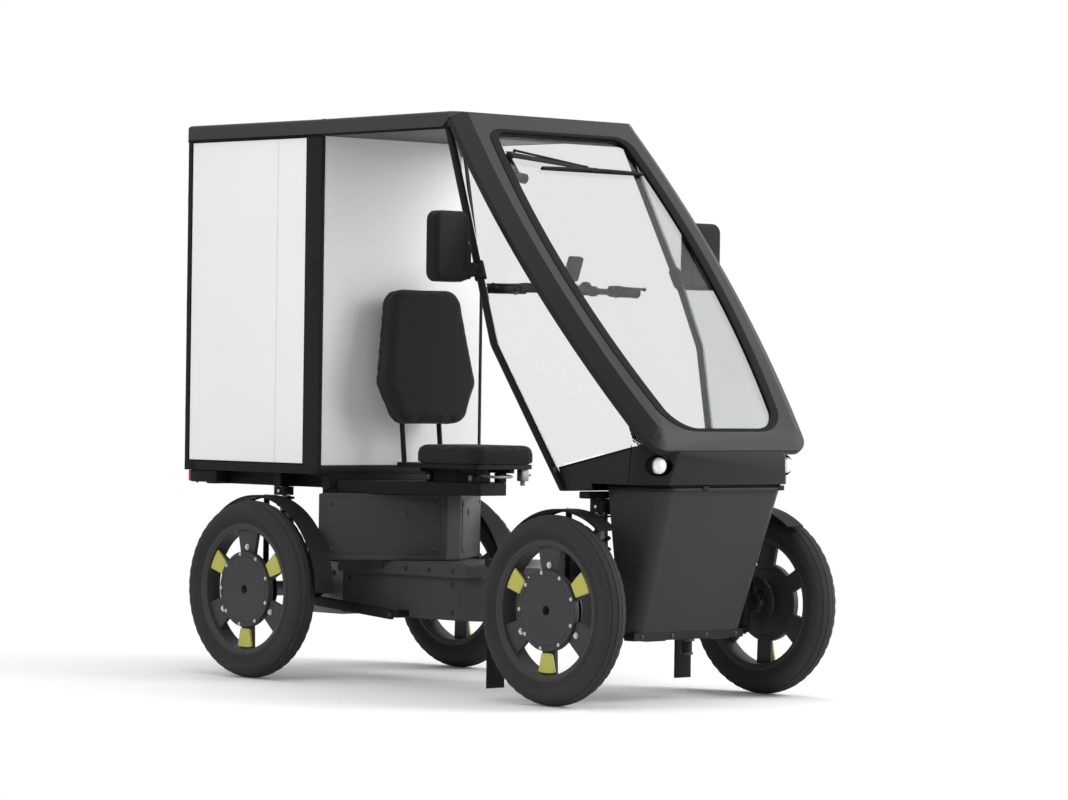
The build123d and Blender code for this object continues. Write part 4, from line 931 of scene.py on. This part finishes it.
def build_dampers():
    """Dampers: springs, seats and brackets."""
    springs, seats, rods = bmesh.new(), bmesh.new(), bmesh.new()
    coil, wire = 0.0285, 0.004
    table = (
        ((FRONT_X, 0.272, 0.2295), (FRONT_X - 0.014, 0.272, 0.6675), 8, 0.052),
        ((REAR_X, 0.302, 0.3355), (REAR_X - 0.06, 0.302, 0.6635), 6, 0.03),
    )
    for foot, head, turns, tall in table:
        for side in (-1, 1):
            low, high = (Vector((x, side * y, z)) for x, y, z in (foot, head))
            length = (high - low).length
            matrix = frame_at(low, high - low)
            first, last = length * 0.2, length * 0.86
            count = turns * 20
            path = []
            for i in range(count + 1):
                turn = tau * turns * i / count
                rise = first + (last - first) * i / count
                path.append(matrix @ Vector((coil * cos(turn), coil * sin(turn), rise)))
            add_tube(springs, path, wire, 8)
            for place in (first - 0.006, last):
                add_ring(seats, place, place + 0.006, 0.009, 0.034, matrix)
            add_ring(rods, 0.012, first - 0.01, 0.0092, 0.011, matrix, 24)
            for place in (-0.021, 0.017):
                add_block(seats, (high.x - 0.03, high.y + place, high.z - tall),
                          (high.x + 0.03, high.y + place + 0.004, high.z), 0.002)
            upper, lower = high - Vector((0, 0, tall * 0.5)), low + Vector((0, 0, 0.01))
            for pin, reach in ((upper, 0.026), (lower, 0.018)):
                across = Vector((0, reach, 0))
                add_rod(rods, pin - across, pin + across, 0.006, 16)
    piece("damper_springs", springs, COATED)
    piece("damper_seats", seats, COATED)
    piece("damper_rods", rods, STEEL)


BAR = at(1.067, 0, 1.355)


def build_steering():
    """Steering: levers, control pods, display glass and the column's boot."""
    levers, pods, grips = bmesh.new(), bmesh.new(), bmesh.new()
    for side in (-1, 1):
        start = BAR + Vector((0, side * 0.144, 0))
        matrix = frame_at(start, (-0.045, side * 0.216, 0), (1, 0, 0))
        add_ring(pods, 0.058, 0.078, 0.0108, 0.0165, matrix, 28)
        low = side * -0.012
        add_block(pods, (0.008, low - 0.009, 0.05), (0.034, low + 0.009, 0.088), 0.004, matrix, 3)
        add_turned(pods, [(0, 0), (0, 0.0085), (0.034, 0.0085), (0.034, 0)],
                   matrix @ frame_at((0.02, low, 0.024), (0, 0, 1)), 20)
        path = bent([(0.026, low, 0.07), (0.047, low, 0.088), (0.049, low, 0.15), (0.04, low, 0.208)], 0.016)
        add_tube(levers, [matrix @ point for point in path], 0.0062, 10, 0.0048)
        add_turned(levers, [(-0.006, 0), (-0.006, 0.005), (0, 0.0072), (0.006, 0.005), (0.006, 0)],
                   matrix @ frame_at((0.04, low, 0.208), (0, 0, 1)), 16)
        pin = [matrix @ Vector((0.026, low + reach, 0.07)) for reach in (-0.01, 0.01)]
        add_rod(levers, *pin, 0.0035, 12)
        for index in range(8):
            place = 0.098 + 0.014 * index
            rib = [(place, 0.0158), (place + 0.001, 0.0172), (place + 0.006, 0.0172), (place + 0.007, 0.0158),
                   (place, 0.0158)]
            add_turned(grips, rib, matrix, 32)
        end = [(0.212, 0.0158), (0.213, 0.0185), (0.219, 0.0185), (0.2215, 0.015), (0.2225, 0), (0.212, 0)]
        add_turned(grips, end, matrix, 32)
        collar = [(0.091, 0.0158), (0.091, 0.0195), (0.095, 0.0195), (0.096, 0.0158), (0.091, 0.0158)]
        add_turned(grips, collar, matrix, 32)
        # Switch pod inboard of each lever
        pod = frame_at(BAR + Vector((0, side * 0.104, 0)), (0, side, 0), (1, 0, 0))
        add_ring(pods, -0.01, 0.012, 0.0108, 0.0175, pod, 28)
        add_block(pods, (-0.04, -0.01, -0.012), (-0.01, 0.01, 0.014), 0.005, pod, 3)
        add_turned(levers, [(0, 0), (0, 0.006), (0.002, 0.0065), (0.003, 0.005), (0.003, 0)],
                   frame_at(BAR + Vector((-0.04, side * 0.105, 0.002)), (-1, 0, 0)), 20)
    bell = [(0, 0), (0, 0.019), (0.006, 0.0195), (0.014, 0.016), (0.018, 0.009), (0.019, 0)]
    add_turned(levers, bell, frame_at(BAR + Vector((0.004, 0.066, 0.0125)), (0, 0, 1)), 36)
    add_ring(pods, -0.008, 0.008, 0.0108, 0.015, frame_at(BAR + Vector((0, 0.066, 0)), (0, 1, 0)), 28)
    piece("brake_levers", levers, COATED, "steering")
    piece("control_pods", pods, MOULDED, "steering")
    piece("grip_ribs", grips, GRIP, "steering")

    face = frame_at(BAR + Vector((0.008, 0, 0.0463)), (-cos(radians(20)), 0, sin(radians(20))), (0, -1, 0))
    glass, keys = bmesh.new(), bmesh.new()
    add_plate(glass, rectangle(0.05, 0.06, 0, 0.034), 0.0012, face @ Matrix.Translation((0, 0, 0.0138)),
              radius=0.004, edge=0.0004)
    for x in (-0.016, 0, 0.016):
        add_turned(keys, [(0, 0), (0, 0.0055), (0.0014, 0.0055), (0.0018, 0.0045), (0.0018, 0)],
                   face @ Matrix.Translation((x, -0.006, 0.0139)), 20)
    piece("display_glass", glass, DISPLAY, "steering")
    piece("display_keys", keys, GRIP, "steering")

    clamp = bmesh.new()
    for y in (-0.019, 0.019):
        for x in (-0.014, 0.014):
            add_bolt(clamp, BAR + Vector((x, y, 0.0165)), (x * 20, 0, 1), 0.0035)
    piece("bar_clamp_bolts", clamp, STEEL, "steering")

    way = Vector((0.58817, 0, -0.80873))
    boot = bmesh.new()
    profile = [(0.52, 0.0166), (0.52, 0.0215)]
    for fold in range(7):
        start = 0.527 + fold * 0.0115
        wide = 0.0255 + fold * 0.0016
        profile += [(start, wide - 0.005), (start + 0.003, wide), (start + 0.006, wide),
                    (start + 0.009, wide - 0.005)]
    profile += [(0.6085, 0.029), (0.6085, 0.0166), (0.52, 0.0166)]
    add_turned(boot, profile, frame_at(BAR, way), 40)
    piece("column_boot", boot, GRIP, "steering")
    flange = bmesh.new()
    deck = Vector((-0.2124, 0, 0.9772))
    foot = BAR + way * 0.702
    for step in range(4):
        angle = radians(45 + 90 * step)
        side_way = Vector((0.9772, 0, 0.2124)) * cos(angle) + Vector((0, 1, 0)) * sin(angle)
        add_bolt(flange, foot + side_way * 0.041 + deck * 0.0058, deck, 0.004)
    piece("flange_bolts", flange, STEEL)


def build_mirrors():
    """Mirrors: clamp, arm casting, knuckle and rim line."""
    arms, rims = bmesh.new(), bmesh.new()
    for side in (-1, 1):
        top = at(0.89, side * 0.41, 1.908)
        joint = top + (at(1.135, side * 0.471, 1.36) - top) * 0.91
        way = (top - joint).normalized()
        add_ring(arms, -0.03, 0.03, 0.0142, 0.0205, frame_at(joint, way))
        matrix = frame_at((joint.x - 0.008, 0, joint.z), (1, 0, 0), (0, side, 0))
        corners = ((0.478, -0.016), (0.536, -0.028), (0.536, 0.03), (0.478, 0.022))
        corners = [(x, y * side) for x, y in corners]
        corners = corners if side > 0 else corners[::-1]
        add_plate(arms, corners, 0.02, matrix, radius=0.006, edge=0.003, segments=3)
        hub = frame_at(at(1.104, side * 0.522, 1.38), (0, 0, 1))
        knuckle = [(0, 0), (0, 0.017), (0.004, 0.02), (0.11, 0.02), (0.118, 0.014), (0.118, 0)]
        add_turned(arms, knuckle, hub, 32)
        add_bolt(arms, at(1.104, side * 0.522, 1.3805), (0, 0, -1), 0.006)
        back = frame_at(at(1.0778, side * 0.596, 1.4865), (-1, 0, 0), (0, 1, 0))
        add_plate(rims, rectangle(0.124, 0.207), 0.0012, back, radius=0.022, edge=0.0004)
    piece("mirror_arms", arms, MOULDED)
    piece("mirror_borders", rims, SEAL)


def build_tail():
    """Tail lamps and reflectors."""
    cases, reds = bmesh.new(), bmesh.new()
    for side in (-1, 1):
        add_side_block(cases, side, (-0.487, 0.34, 0.6705), (-0.339, 0.382, 0.714), 0.005, 3)
        add_side_block(reds, side, (-0.499, 0.342, 0.673), (-0.486, 0.38, 0.7115), 0.003, 3)
        for z in (0.682, 0.692, 0.702):
            add_side_block(reds, side, (-0.5002, 0.345, z - 0.0015), (-0.498, 0.377, z + 0.0015), 0.0004)
        for x in (-0.47, -0.36):
            add_bolt(cases, at(x, side * 0.361, 0.6708), (0, 0, -1), 0.0045)
    piece("tail_lamp_cases", cases, MOULDED, "vehicle", ["tail_lamps"])
    piece("tail_lamp_lenses", reds, RED)
    for name, side in (("right", -1), ("left", 1)):
        body = f"back_door_{name}"
        reflector, screws, seal = bmesh.new(), bmesh.new(), bmesh.new()
        matrix = frame_at(at(-0.5128, side * 0.3, 0.815), (-1, 0, 0))
        add_turned(reflector, [(0, 0), (0, 0.03), (0.003, 0.03), (0.005, 0.027), (0.0055, 0)], matrix, 40)
        piece(f"{body}_reflector", reflector, RED, body)
        for index in range(3):
            place = 0.75 + 1.133 * (index + 0.5) / 3 + 0.015
            for y in (0.3, 0.345):
                add_bolt(screws, at(-0.5158, side * y, place), (-1, 0, 0), 0.003, 0.003)
        for y in (0.0045, 0.356):
            add_side_block(seal, side, (-0.514, y - 0.0018, 0.754), (-0.512, y + 0.0018, 1.879))
        for z in (0.7535, 1.8795):
            add_side_block(seal, side, (-0.514, 0.0045, z - 0.0018), (-0.512, 0.356, z + 0.0018))
        piece(f"{body}_screws", screws, DARK_STEEL, body)
        piece(f"{body}_edge", seal, SEAL, body)
    lock = bmesh.new()
    matrix = frame_at(at(-0.513, -0.09, 1.3165), (-1, 0, 0))
    barrel = [(0, 0), (0, 0.014), (0.003, 0.014), (0.004, 0.01), (0.004, 0.0035), (0.002, 0.0035), (0.002, 0)]
    add_turned(lock, barrel, matrix, 32)
    piece("door_lock", lock, ALLOY, "back_door_right")


def build_box():
    """Box: rivets along the panels, corner caps, panel joints and roof trim."""
    rivets, caps, joints, trim = bmesh.new(), bmesh.new(), bmesh.new(), bmesh.new()
    dome = [(0, 0), (0, 0.004), (0.001, 0.0038), (0.002, 0.0024), (0.0024, 0)]
    spots = []
    for index in range(9):
        spots += [(x, 0.775 + index * 0.135) for x in (0.179, -0.503)]
    spots += [(-0.455 + index * 0.08, 0.7295) for index in range(8)]
    for side in (-1, 1):
        for x, z in spots:
            add_turned(rivets, dome, frame_at(at(x, side * 0.3858, z), (0, side, 0)), 12)
        add_side_block(joints, side, (-0.018, 0.3826, 0.747), (-0.016, 0.3838, 1.886))
        for x in (-0.4925, 0.1365):
            add_side_block(trim, side, (x - 0.0025, 0.3826, 0.745), (x + 0.0025, 0.3845, 1.888))
        for z in (0.7475, 1.8855):
            add_side_block(trim, side, (-0.4925, 0.3826, z - 0.0025), (0.1365, 0.3845, z + 0.0025))
        for back, front in ((-0.5125, -0.4625), (0.1705, 0.2205)):
            add_side_block(caps, side, (back, 0.3825, 0.7125), (front, 0.3878, 0.746), 0.002)
        points = [at(-0.512, side * 0.3885, 1.8905), at(0.221, side * 0.3885, 1.8905),
                  at(0.935, side * 0.4375, 1.8905)]
        for start, end in zip(points, points[1:]):
            add_strip(trim, start, end, (0, 1, 0), 0.005, 0.008, 0.001)
    add_block(trim, at(0.2195, -0.386, 1.9452), at(0.2225, 0.386, 1.9468))
    piece("box_rivets", rivets, COATED)
    piece("box_corner_caps", caps, MOULDED)
    piece("panel_joints", joints, PALE)
    piece("panel_trim", trim, SEAL)


def build_seat_base():
    """Below the seat: housing panels with fasteners, seat rails and latch, battery ribs."""
    panels, fasteners = bmesh.new(), bmesh.new()
    for side in (-1, 1):
        start, end = at(0.223, side * 0.386, 0), at(0.5, side * 0.034, 0)
        way = (end - start).normalized()
        out = Vector((-way.y, way.x, 0)) * side
        matrix = frame_at(start + Vector((0, 0, 0.418)), out, way)
        up = 1 if (matrix.to_3x3() @ Vector((0, 1, 0))).z > 0 else -1
        corners = rectangle(0.4, 0.19, 0.226, up * 0.118)
        add_plate(panels, corners, 0.0022, matrix, radius=0.014, edge=0.0007)
        screw = [(0, 0), (0, 0.0075), (0.002, 0.0075), (0.003, 0.006), (0.003, 0)]
        for x, y in ((0.045, 0.04), (0.407, 0.04), (0.045, 0.196), (0.407, 0.196)):
            add_turned(fasteners, screw, matrix @ Matrix.Translation((x, up * y, 0.002)), 20)
        lock = [(0, 0), (0, 0.012), (0.003, 0.012), (0.004, 0.0095), (0.004, 0.003), (0.001, 0.003),
                (0.001, 0)]
        add_turned(fasteners, lock, matrix @ Matrix.Translation((0.3, up * 0.165, 0.002)), 28)
    # Painted reflection: the housing panels take the lightened chassis grey
    piece("housing_panels", panels, SATIN_WITH_PAINTED_REFLECTION)
    piece("housing_fasteners", fasteners, DARK_STEEL)

    rails, latch = bmesh.new(), bmesh.new()
    for side in (-1, 1):
        y = side * 0.062
        add_block(rails, at(0.405, y - 0.013, 0.7275), at(0.725, y + 0.013, 0.742), 0.002)
        for x in (0.4525, 0.6675):
            add_block(rails, at(x - 0.0125, y - 0.018, 0.694), at(x + 0.0125, y + 0.018, 0.7275), 0.002)
            add_bolt(latch, at(x, y + side * 0.018, 0.711), (0, side, 0), 0.006)
    handle = bent([at(0.69, -0.048, 0.722), at(0.748, -0.048, 0.716), at(0.748, 0.048, 0.716),
                   at(0.69, 0.048, 0.722)], 0.018)
    add_tube(latch, handle, 0.005, 10)
    add_block(latch, at(0.7, 0.108, 0.7), at(0.728, 0.142, 0.742), 0.004)
    add_rod(latch, at(0.714, 0.125, 0.7), at(0.714, 0.125, 0.6845), 0.009, 20)
    lever = bent([at(0.714, 0.142, 0.722), at(0.714, 0.166, 0.722), at(0.655, 0.17, 0.714)], 0.012)
    add_tube(latch, lever, 0.0045, 10)
    piece("seat_rails", rails, COATED)
    piece("seat_latch", latch, DULL_STEEL)

    battery, handle = bmesh.new(), bmesh.new()
    for side in (-1, 1):
        for z in (0.47, 0.5, 0.53, 0.56):
            add_side_block(battery, side, (0.112, 0.1495, z - 0.004), (0.21, 0.1525, z + 0.004), 0.0012)
        path = bent([at(0.13, side * 0.148, 0.625), at(0.13, side * 0.166, 0.625),
                     at(0.192, side * 0.166, 0.625), at(0.192, side * 0.148, 0.625)], 0.008)
        add_tube(handle, path, 0.0055, 10)
    piece("battery_ribs", battery, MOULDED)
    piece("battery_handles", handle, GRIP)


def build_chassis():
    """Chassis: rear trailing arms, suspension brackets, bolts, brake bolts, pedals and drive cover."""
    arms, bolts = bmesh.new(), bmesh.new()
    for side in (-1, 1):
        y = side * 0.205
        add_strip(arms, at(0.01, y, 0.262), at(0.415, y, 0.232), (0, 1, 0), 0.018, 0.034, 0.003)
        add_side_block(arms, side, (0.385, 0.14, 0.222), (0.44, 0.205, 0.246), 0.003)
        add_rod(bolts, at(0.412, y - 0.016, 0.233), at(0.412, y + 0.016, 0.233), 0.009, 20)
        add_ring(arms, -0.02, 0.02, 0.0262, 0.0345, frame_at((REAR_X, y, AXLE_Z), (0, 1, 0)), 36)
        for x in (0.33, 0.45, 0.57, 0.69):
            add_bolt(bolts, at(x, side * 0.1778, 0.394), (0, side, 0), 0.006)
        for x, z in ((0.12, 0.25), (0.12, 0.345), (0.66, 0.25), (0.66, 0.345)):
            add_bolt(bolts, at(x, side * 0.1498, z), (0, side, 0), 0.007)
        # Brackets that hold the front arms' bushes to the cross member
        for eye_z in (0.221, 0.397):
            for spread in (-0.07, 0.07):
                for reach in (-0.0145, 0.0115):
                    x = FRONT_X + spread + reach - REAR_X
                    low, high = (x, 0.149, eye_z - 0.018), (x + 0.003, 0.18, eye_z + 0.018)
                    add_side_block(arms, side, low, high, 0.001)
                add_rod(bolts, (FRONT_X + spread - 0.02, side * 0.1643, eye_z),
                        (FRONT_X + spread + 0.02, side * 0.1643, eye_z), 0.0055, 14)
        for eye_z, way in ((0.212, -1), (0.406, 1)):
            add_bolt(bolts, (FRONT_X, side * 0.4, eye_z), (0, 0, way), 0.009, 0.007)
        for x in (REAR_X - 0.04, REAR_X + 0.04):
            for z in (0.25, 0.36):
                add_bolt(bolts, (x, side * 0.1498, z), (0, side, 0), 0.007)
    piece("rear_arms", arms, COATED)
    piece("chassis_bolts", bolts, DARK_STEEL)

    for name, (x, side) in WHEELS.items():
        end, hand = name.split("_")
        body = f"upright_{hand}" if end == "front" else "vehicle"
        fixings, stays = bmesh.new(), bmesh.new()
        for z in (-0.016, 0.016):
            add_bolt(fixings, (x - 0.092, side * 0.4338, AXLE_Z + z), (0, -side, 0), 0.0045)
            add_bolt(fixings, (x - 0.03, side * 0.424, AXLE_Z + z * 0.8), (0, -side, 0), 0.004, 0.003)
        add_turned(fixings, [(0, 0), (0, 0.01), (0.002, 0.011), (0.004, 0.009), (0.004, 0)],
                   frame_at((x - 0.07, side * 0.434, AXLE_Z), (0, -side, 0)), 24)
        piece(f"{name}_caliper_bolts", fixings, STEEL, body)
        for spread in (-0.007, 0.007):
            add_bolt(stays, (x + spread, side * 0.433, 0.6), (0, side, 0), 0.0035, 0.003)
            add_bolt(stays, (x + spread, side * 0.4305, AXLE_Z + 0.3278), (0, 0, 1), 0.0035, 0.003)
        guard = {"rear_right": "rear", "rear_left": "rear_far"}.get(name, name)
        piece(f"{guard}_guard_bolts", stays, STEEL, body)

    for name, side in (("right", -1), ("left", 1)):
        trim = bmesh.new()
        middle = ahead(1.08 + side * 0.17)
        rim = sorted((side * 0.112, side * 0.172))
        for x in (-0.0478, 0.0462):
            add_block(trim, (middle + x, rim[0], 0.423), (middle + x + 0.0016, rim[1], 0.437), 0.0005)
        piece(f"pedal_{name}_reflectors", trim, AMBER, f"pedal_{name}")
        pins = bmesh.new()
        for x in (-0.036, -0.012, 0.012, 0.036):
            for y in (0.11, 0.142, 0.174):
                for way in (-1, 1):
                    add_turned(pins, [(0, 0), (0, 0.0022), (0.0018, 0.0022), (0.0022, 0.0015), (0.0022, 0)],
                               frame_at((middle + x, side * y, 0.43 + way * 0.0128), (0, 0, way)), 8)
        piece(f"pedal_{name}_pins", pins, STEEL, f"pedal_{name}")
    drive, hubs = bmesh.new(), bmesh.new()
    for side in (-1, 1):
        place = frame_at(at(1.08, side * 0.0548, 0.43), (0, side, 0))
        cover = [(0, 0.016), (0, 0.05), (0.004, 0.048), (0.006, 0.03), (0.006, 0.016), (0, 0.016)]
        add_turned(drive, cover, place, 48)
        for step in range(6):
            angle = radians(30 + 60 * step)
            spot = place @ Vector((0.04 * cos(angle), 0.04 * sin(angle), 0.0046))
            add_bolt(drive, spot, (0, side, 0), 0.0035, 0.003)
        add_turned(hubs, [(0, 0), (0, 0.01), (0.003, 0.01), (0.004, 0.007), (0.004, 0)],
                   frame_at(at(1.08, side * 0.0912, 0.43), (0, side, 0)), 24)
    piece("drive_covers", drive, DARK_STEEL)
    piece("crank_caps", hubs, STEEL, "crank")


for build in (
    build_roof, build_screen, build_nose, build_dampers, build_steering, build_mirrors,
    build_tail, build_box, build_seat_base, build_chassis,
):
    build()


# Seat pad and backrest, with their seams


def soft_pad(node, stitches):
    """Padded cover from the solid of a CAD node, swollen a little by air inside it."""
    shrink, swell, room = 0.004, 0.008, 0.004
    data = nodes[node].data.copy()
    pad = add_object(f"{node}_cover", data)
    data.materials.clear()
    data.materials.append(CLOTH)
    low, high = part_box(node)
    middle = (low + high) / 2
    data.transform(Matrix.Translation(-middle))
    data.transform(Matrix.Diagonal((*[1 - 2 * shrink / (b - a) for a, b in zip(low, high)], 1)))
    data.transform(Matrix.Translation(middle))
    bpy.context.view_layer.objects.active = pad
    skin = pad.modifiers.new("skin", "REMESH")
    skin.mode = "VOXEL"
    skin.voxel_size = 0.0055
    apply_modifiers(pad)
    rest = [v.co.copy() for v in pad.data.vertices]
    cloth = pad.modifiers.new("cloth", "CLOTH")
    cloth.settings.use_pressure = True
    cloth.settings.uniform_pressure_force = 4
    cloth.settings.effector_weights.gravity = 0
    for step in range(1, 21):
        bpy.context.scene.frame_set(step)
    apply_modifiers(pad)
    bpy.context.scene.frame_set(1)
    for vert, start in zip(pad.data.vertices, rest):
        move = vert.co - start
        if move.length > swell:
            vert.co = start + move.normalized() * swell
    stitches(pad.data, low, high)
    for vert in pad.data.vertices:
        vert.co = Vector(min(max(c, a - room), b + room) for c, a, b in zip(vert.co, low, high))
    pad.data.shade_smooth()
    smooth = pad.modifiers.new("smooth", "SUBSURF")
    smooth.levels = smooth.render_levels = 1
    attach(pad, "vehicle")
    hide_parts(node)


def apply_modifiers(thing):
    graph = bpy.context.evaluated_depsgraph_get()
    shaped = bpy.data.meshes.new_from_object(thing.evaluated_get(graph))
    thing.modifiers.clear()
    old = thing.data
    thing.data = shaped
    bpy.data.meshes.remove(old)


def groove(distance, width):
    """Share of a soft groove's depth at a distance from its middle."""
    share = distance / width
    return 2.718 ** (-share * share)


def seat_channels(data, low, high):
    """Sewn channels across the seat and a seam round its side."""
    middle = Vector((low.x + high.x, low.y + high.y, 0)) / 2
    for vert in data.vertices:
        if vert.co.z > high.z - 0.02:
            for place in (0.36, 0.68):
                vert.co.z -= 0.004 * groove(vert.co.x - (low.x + (high.x - low.x) * place), 0.006)
        seam = groove(vert.co.z - (high.z - 0.018), 0.004)
        inward = middle - vert.co
        inward.z = 0
        vert.co += inward.normalized() * 0.002 * seam


def back_channels(data, low, high):
    """A seam round the front of the backrest, which leans back a little."""
    middle = (low + high) / 2
    for vert in data.vertices:
        seam = groove(vert.co.x - (low.x + 0.052) - (middle.z - vert.co.z) * 0.105, 0.004)
        inward = middle - vert.co
        inward.x = 0
        vert.co += inward.normalized() * 0.002 * seam


soft_pad("seat_pad", seat_channels)
soft_pad("backrest", back_channels)
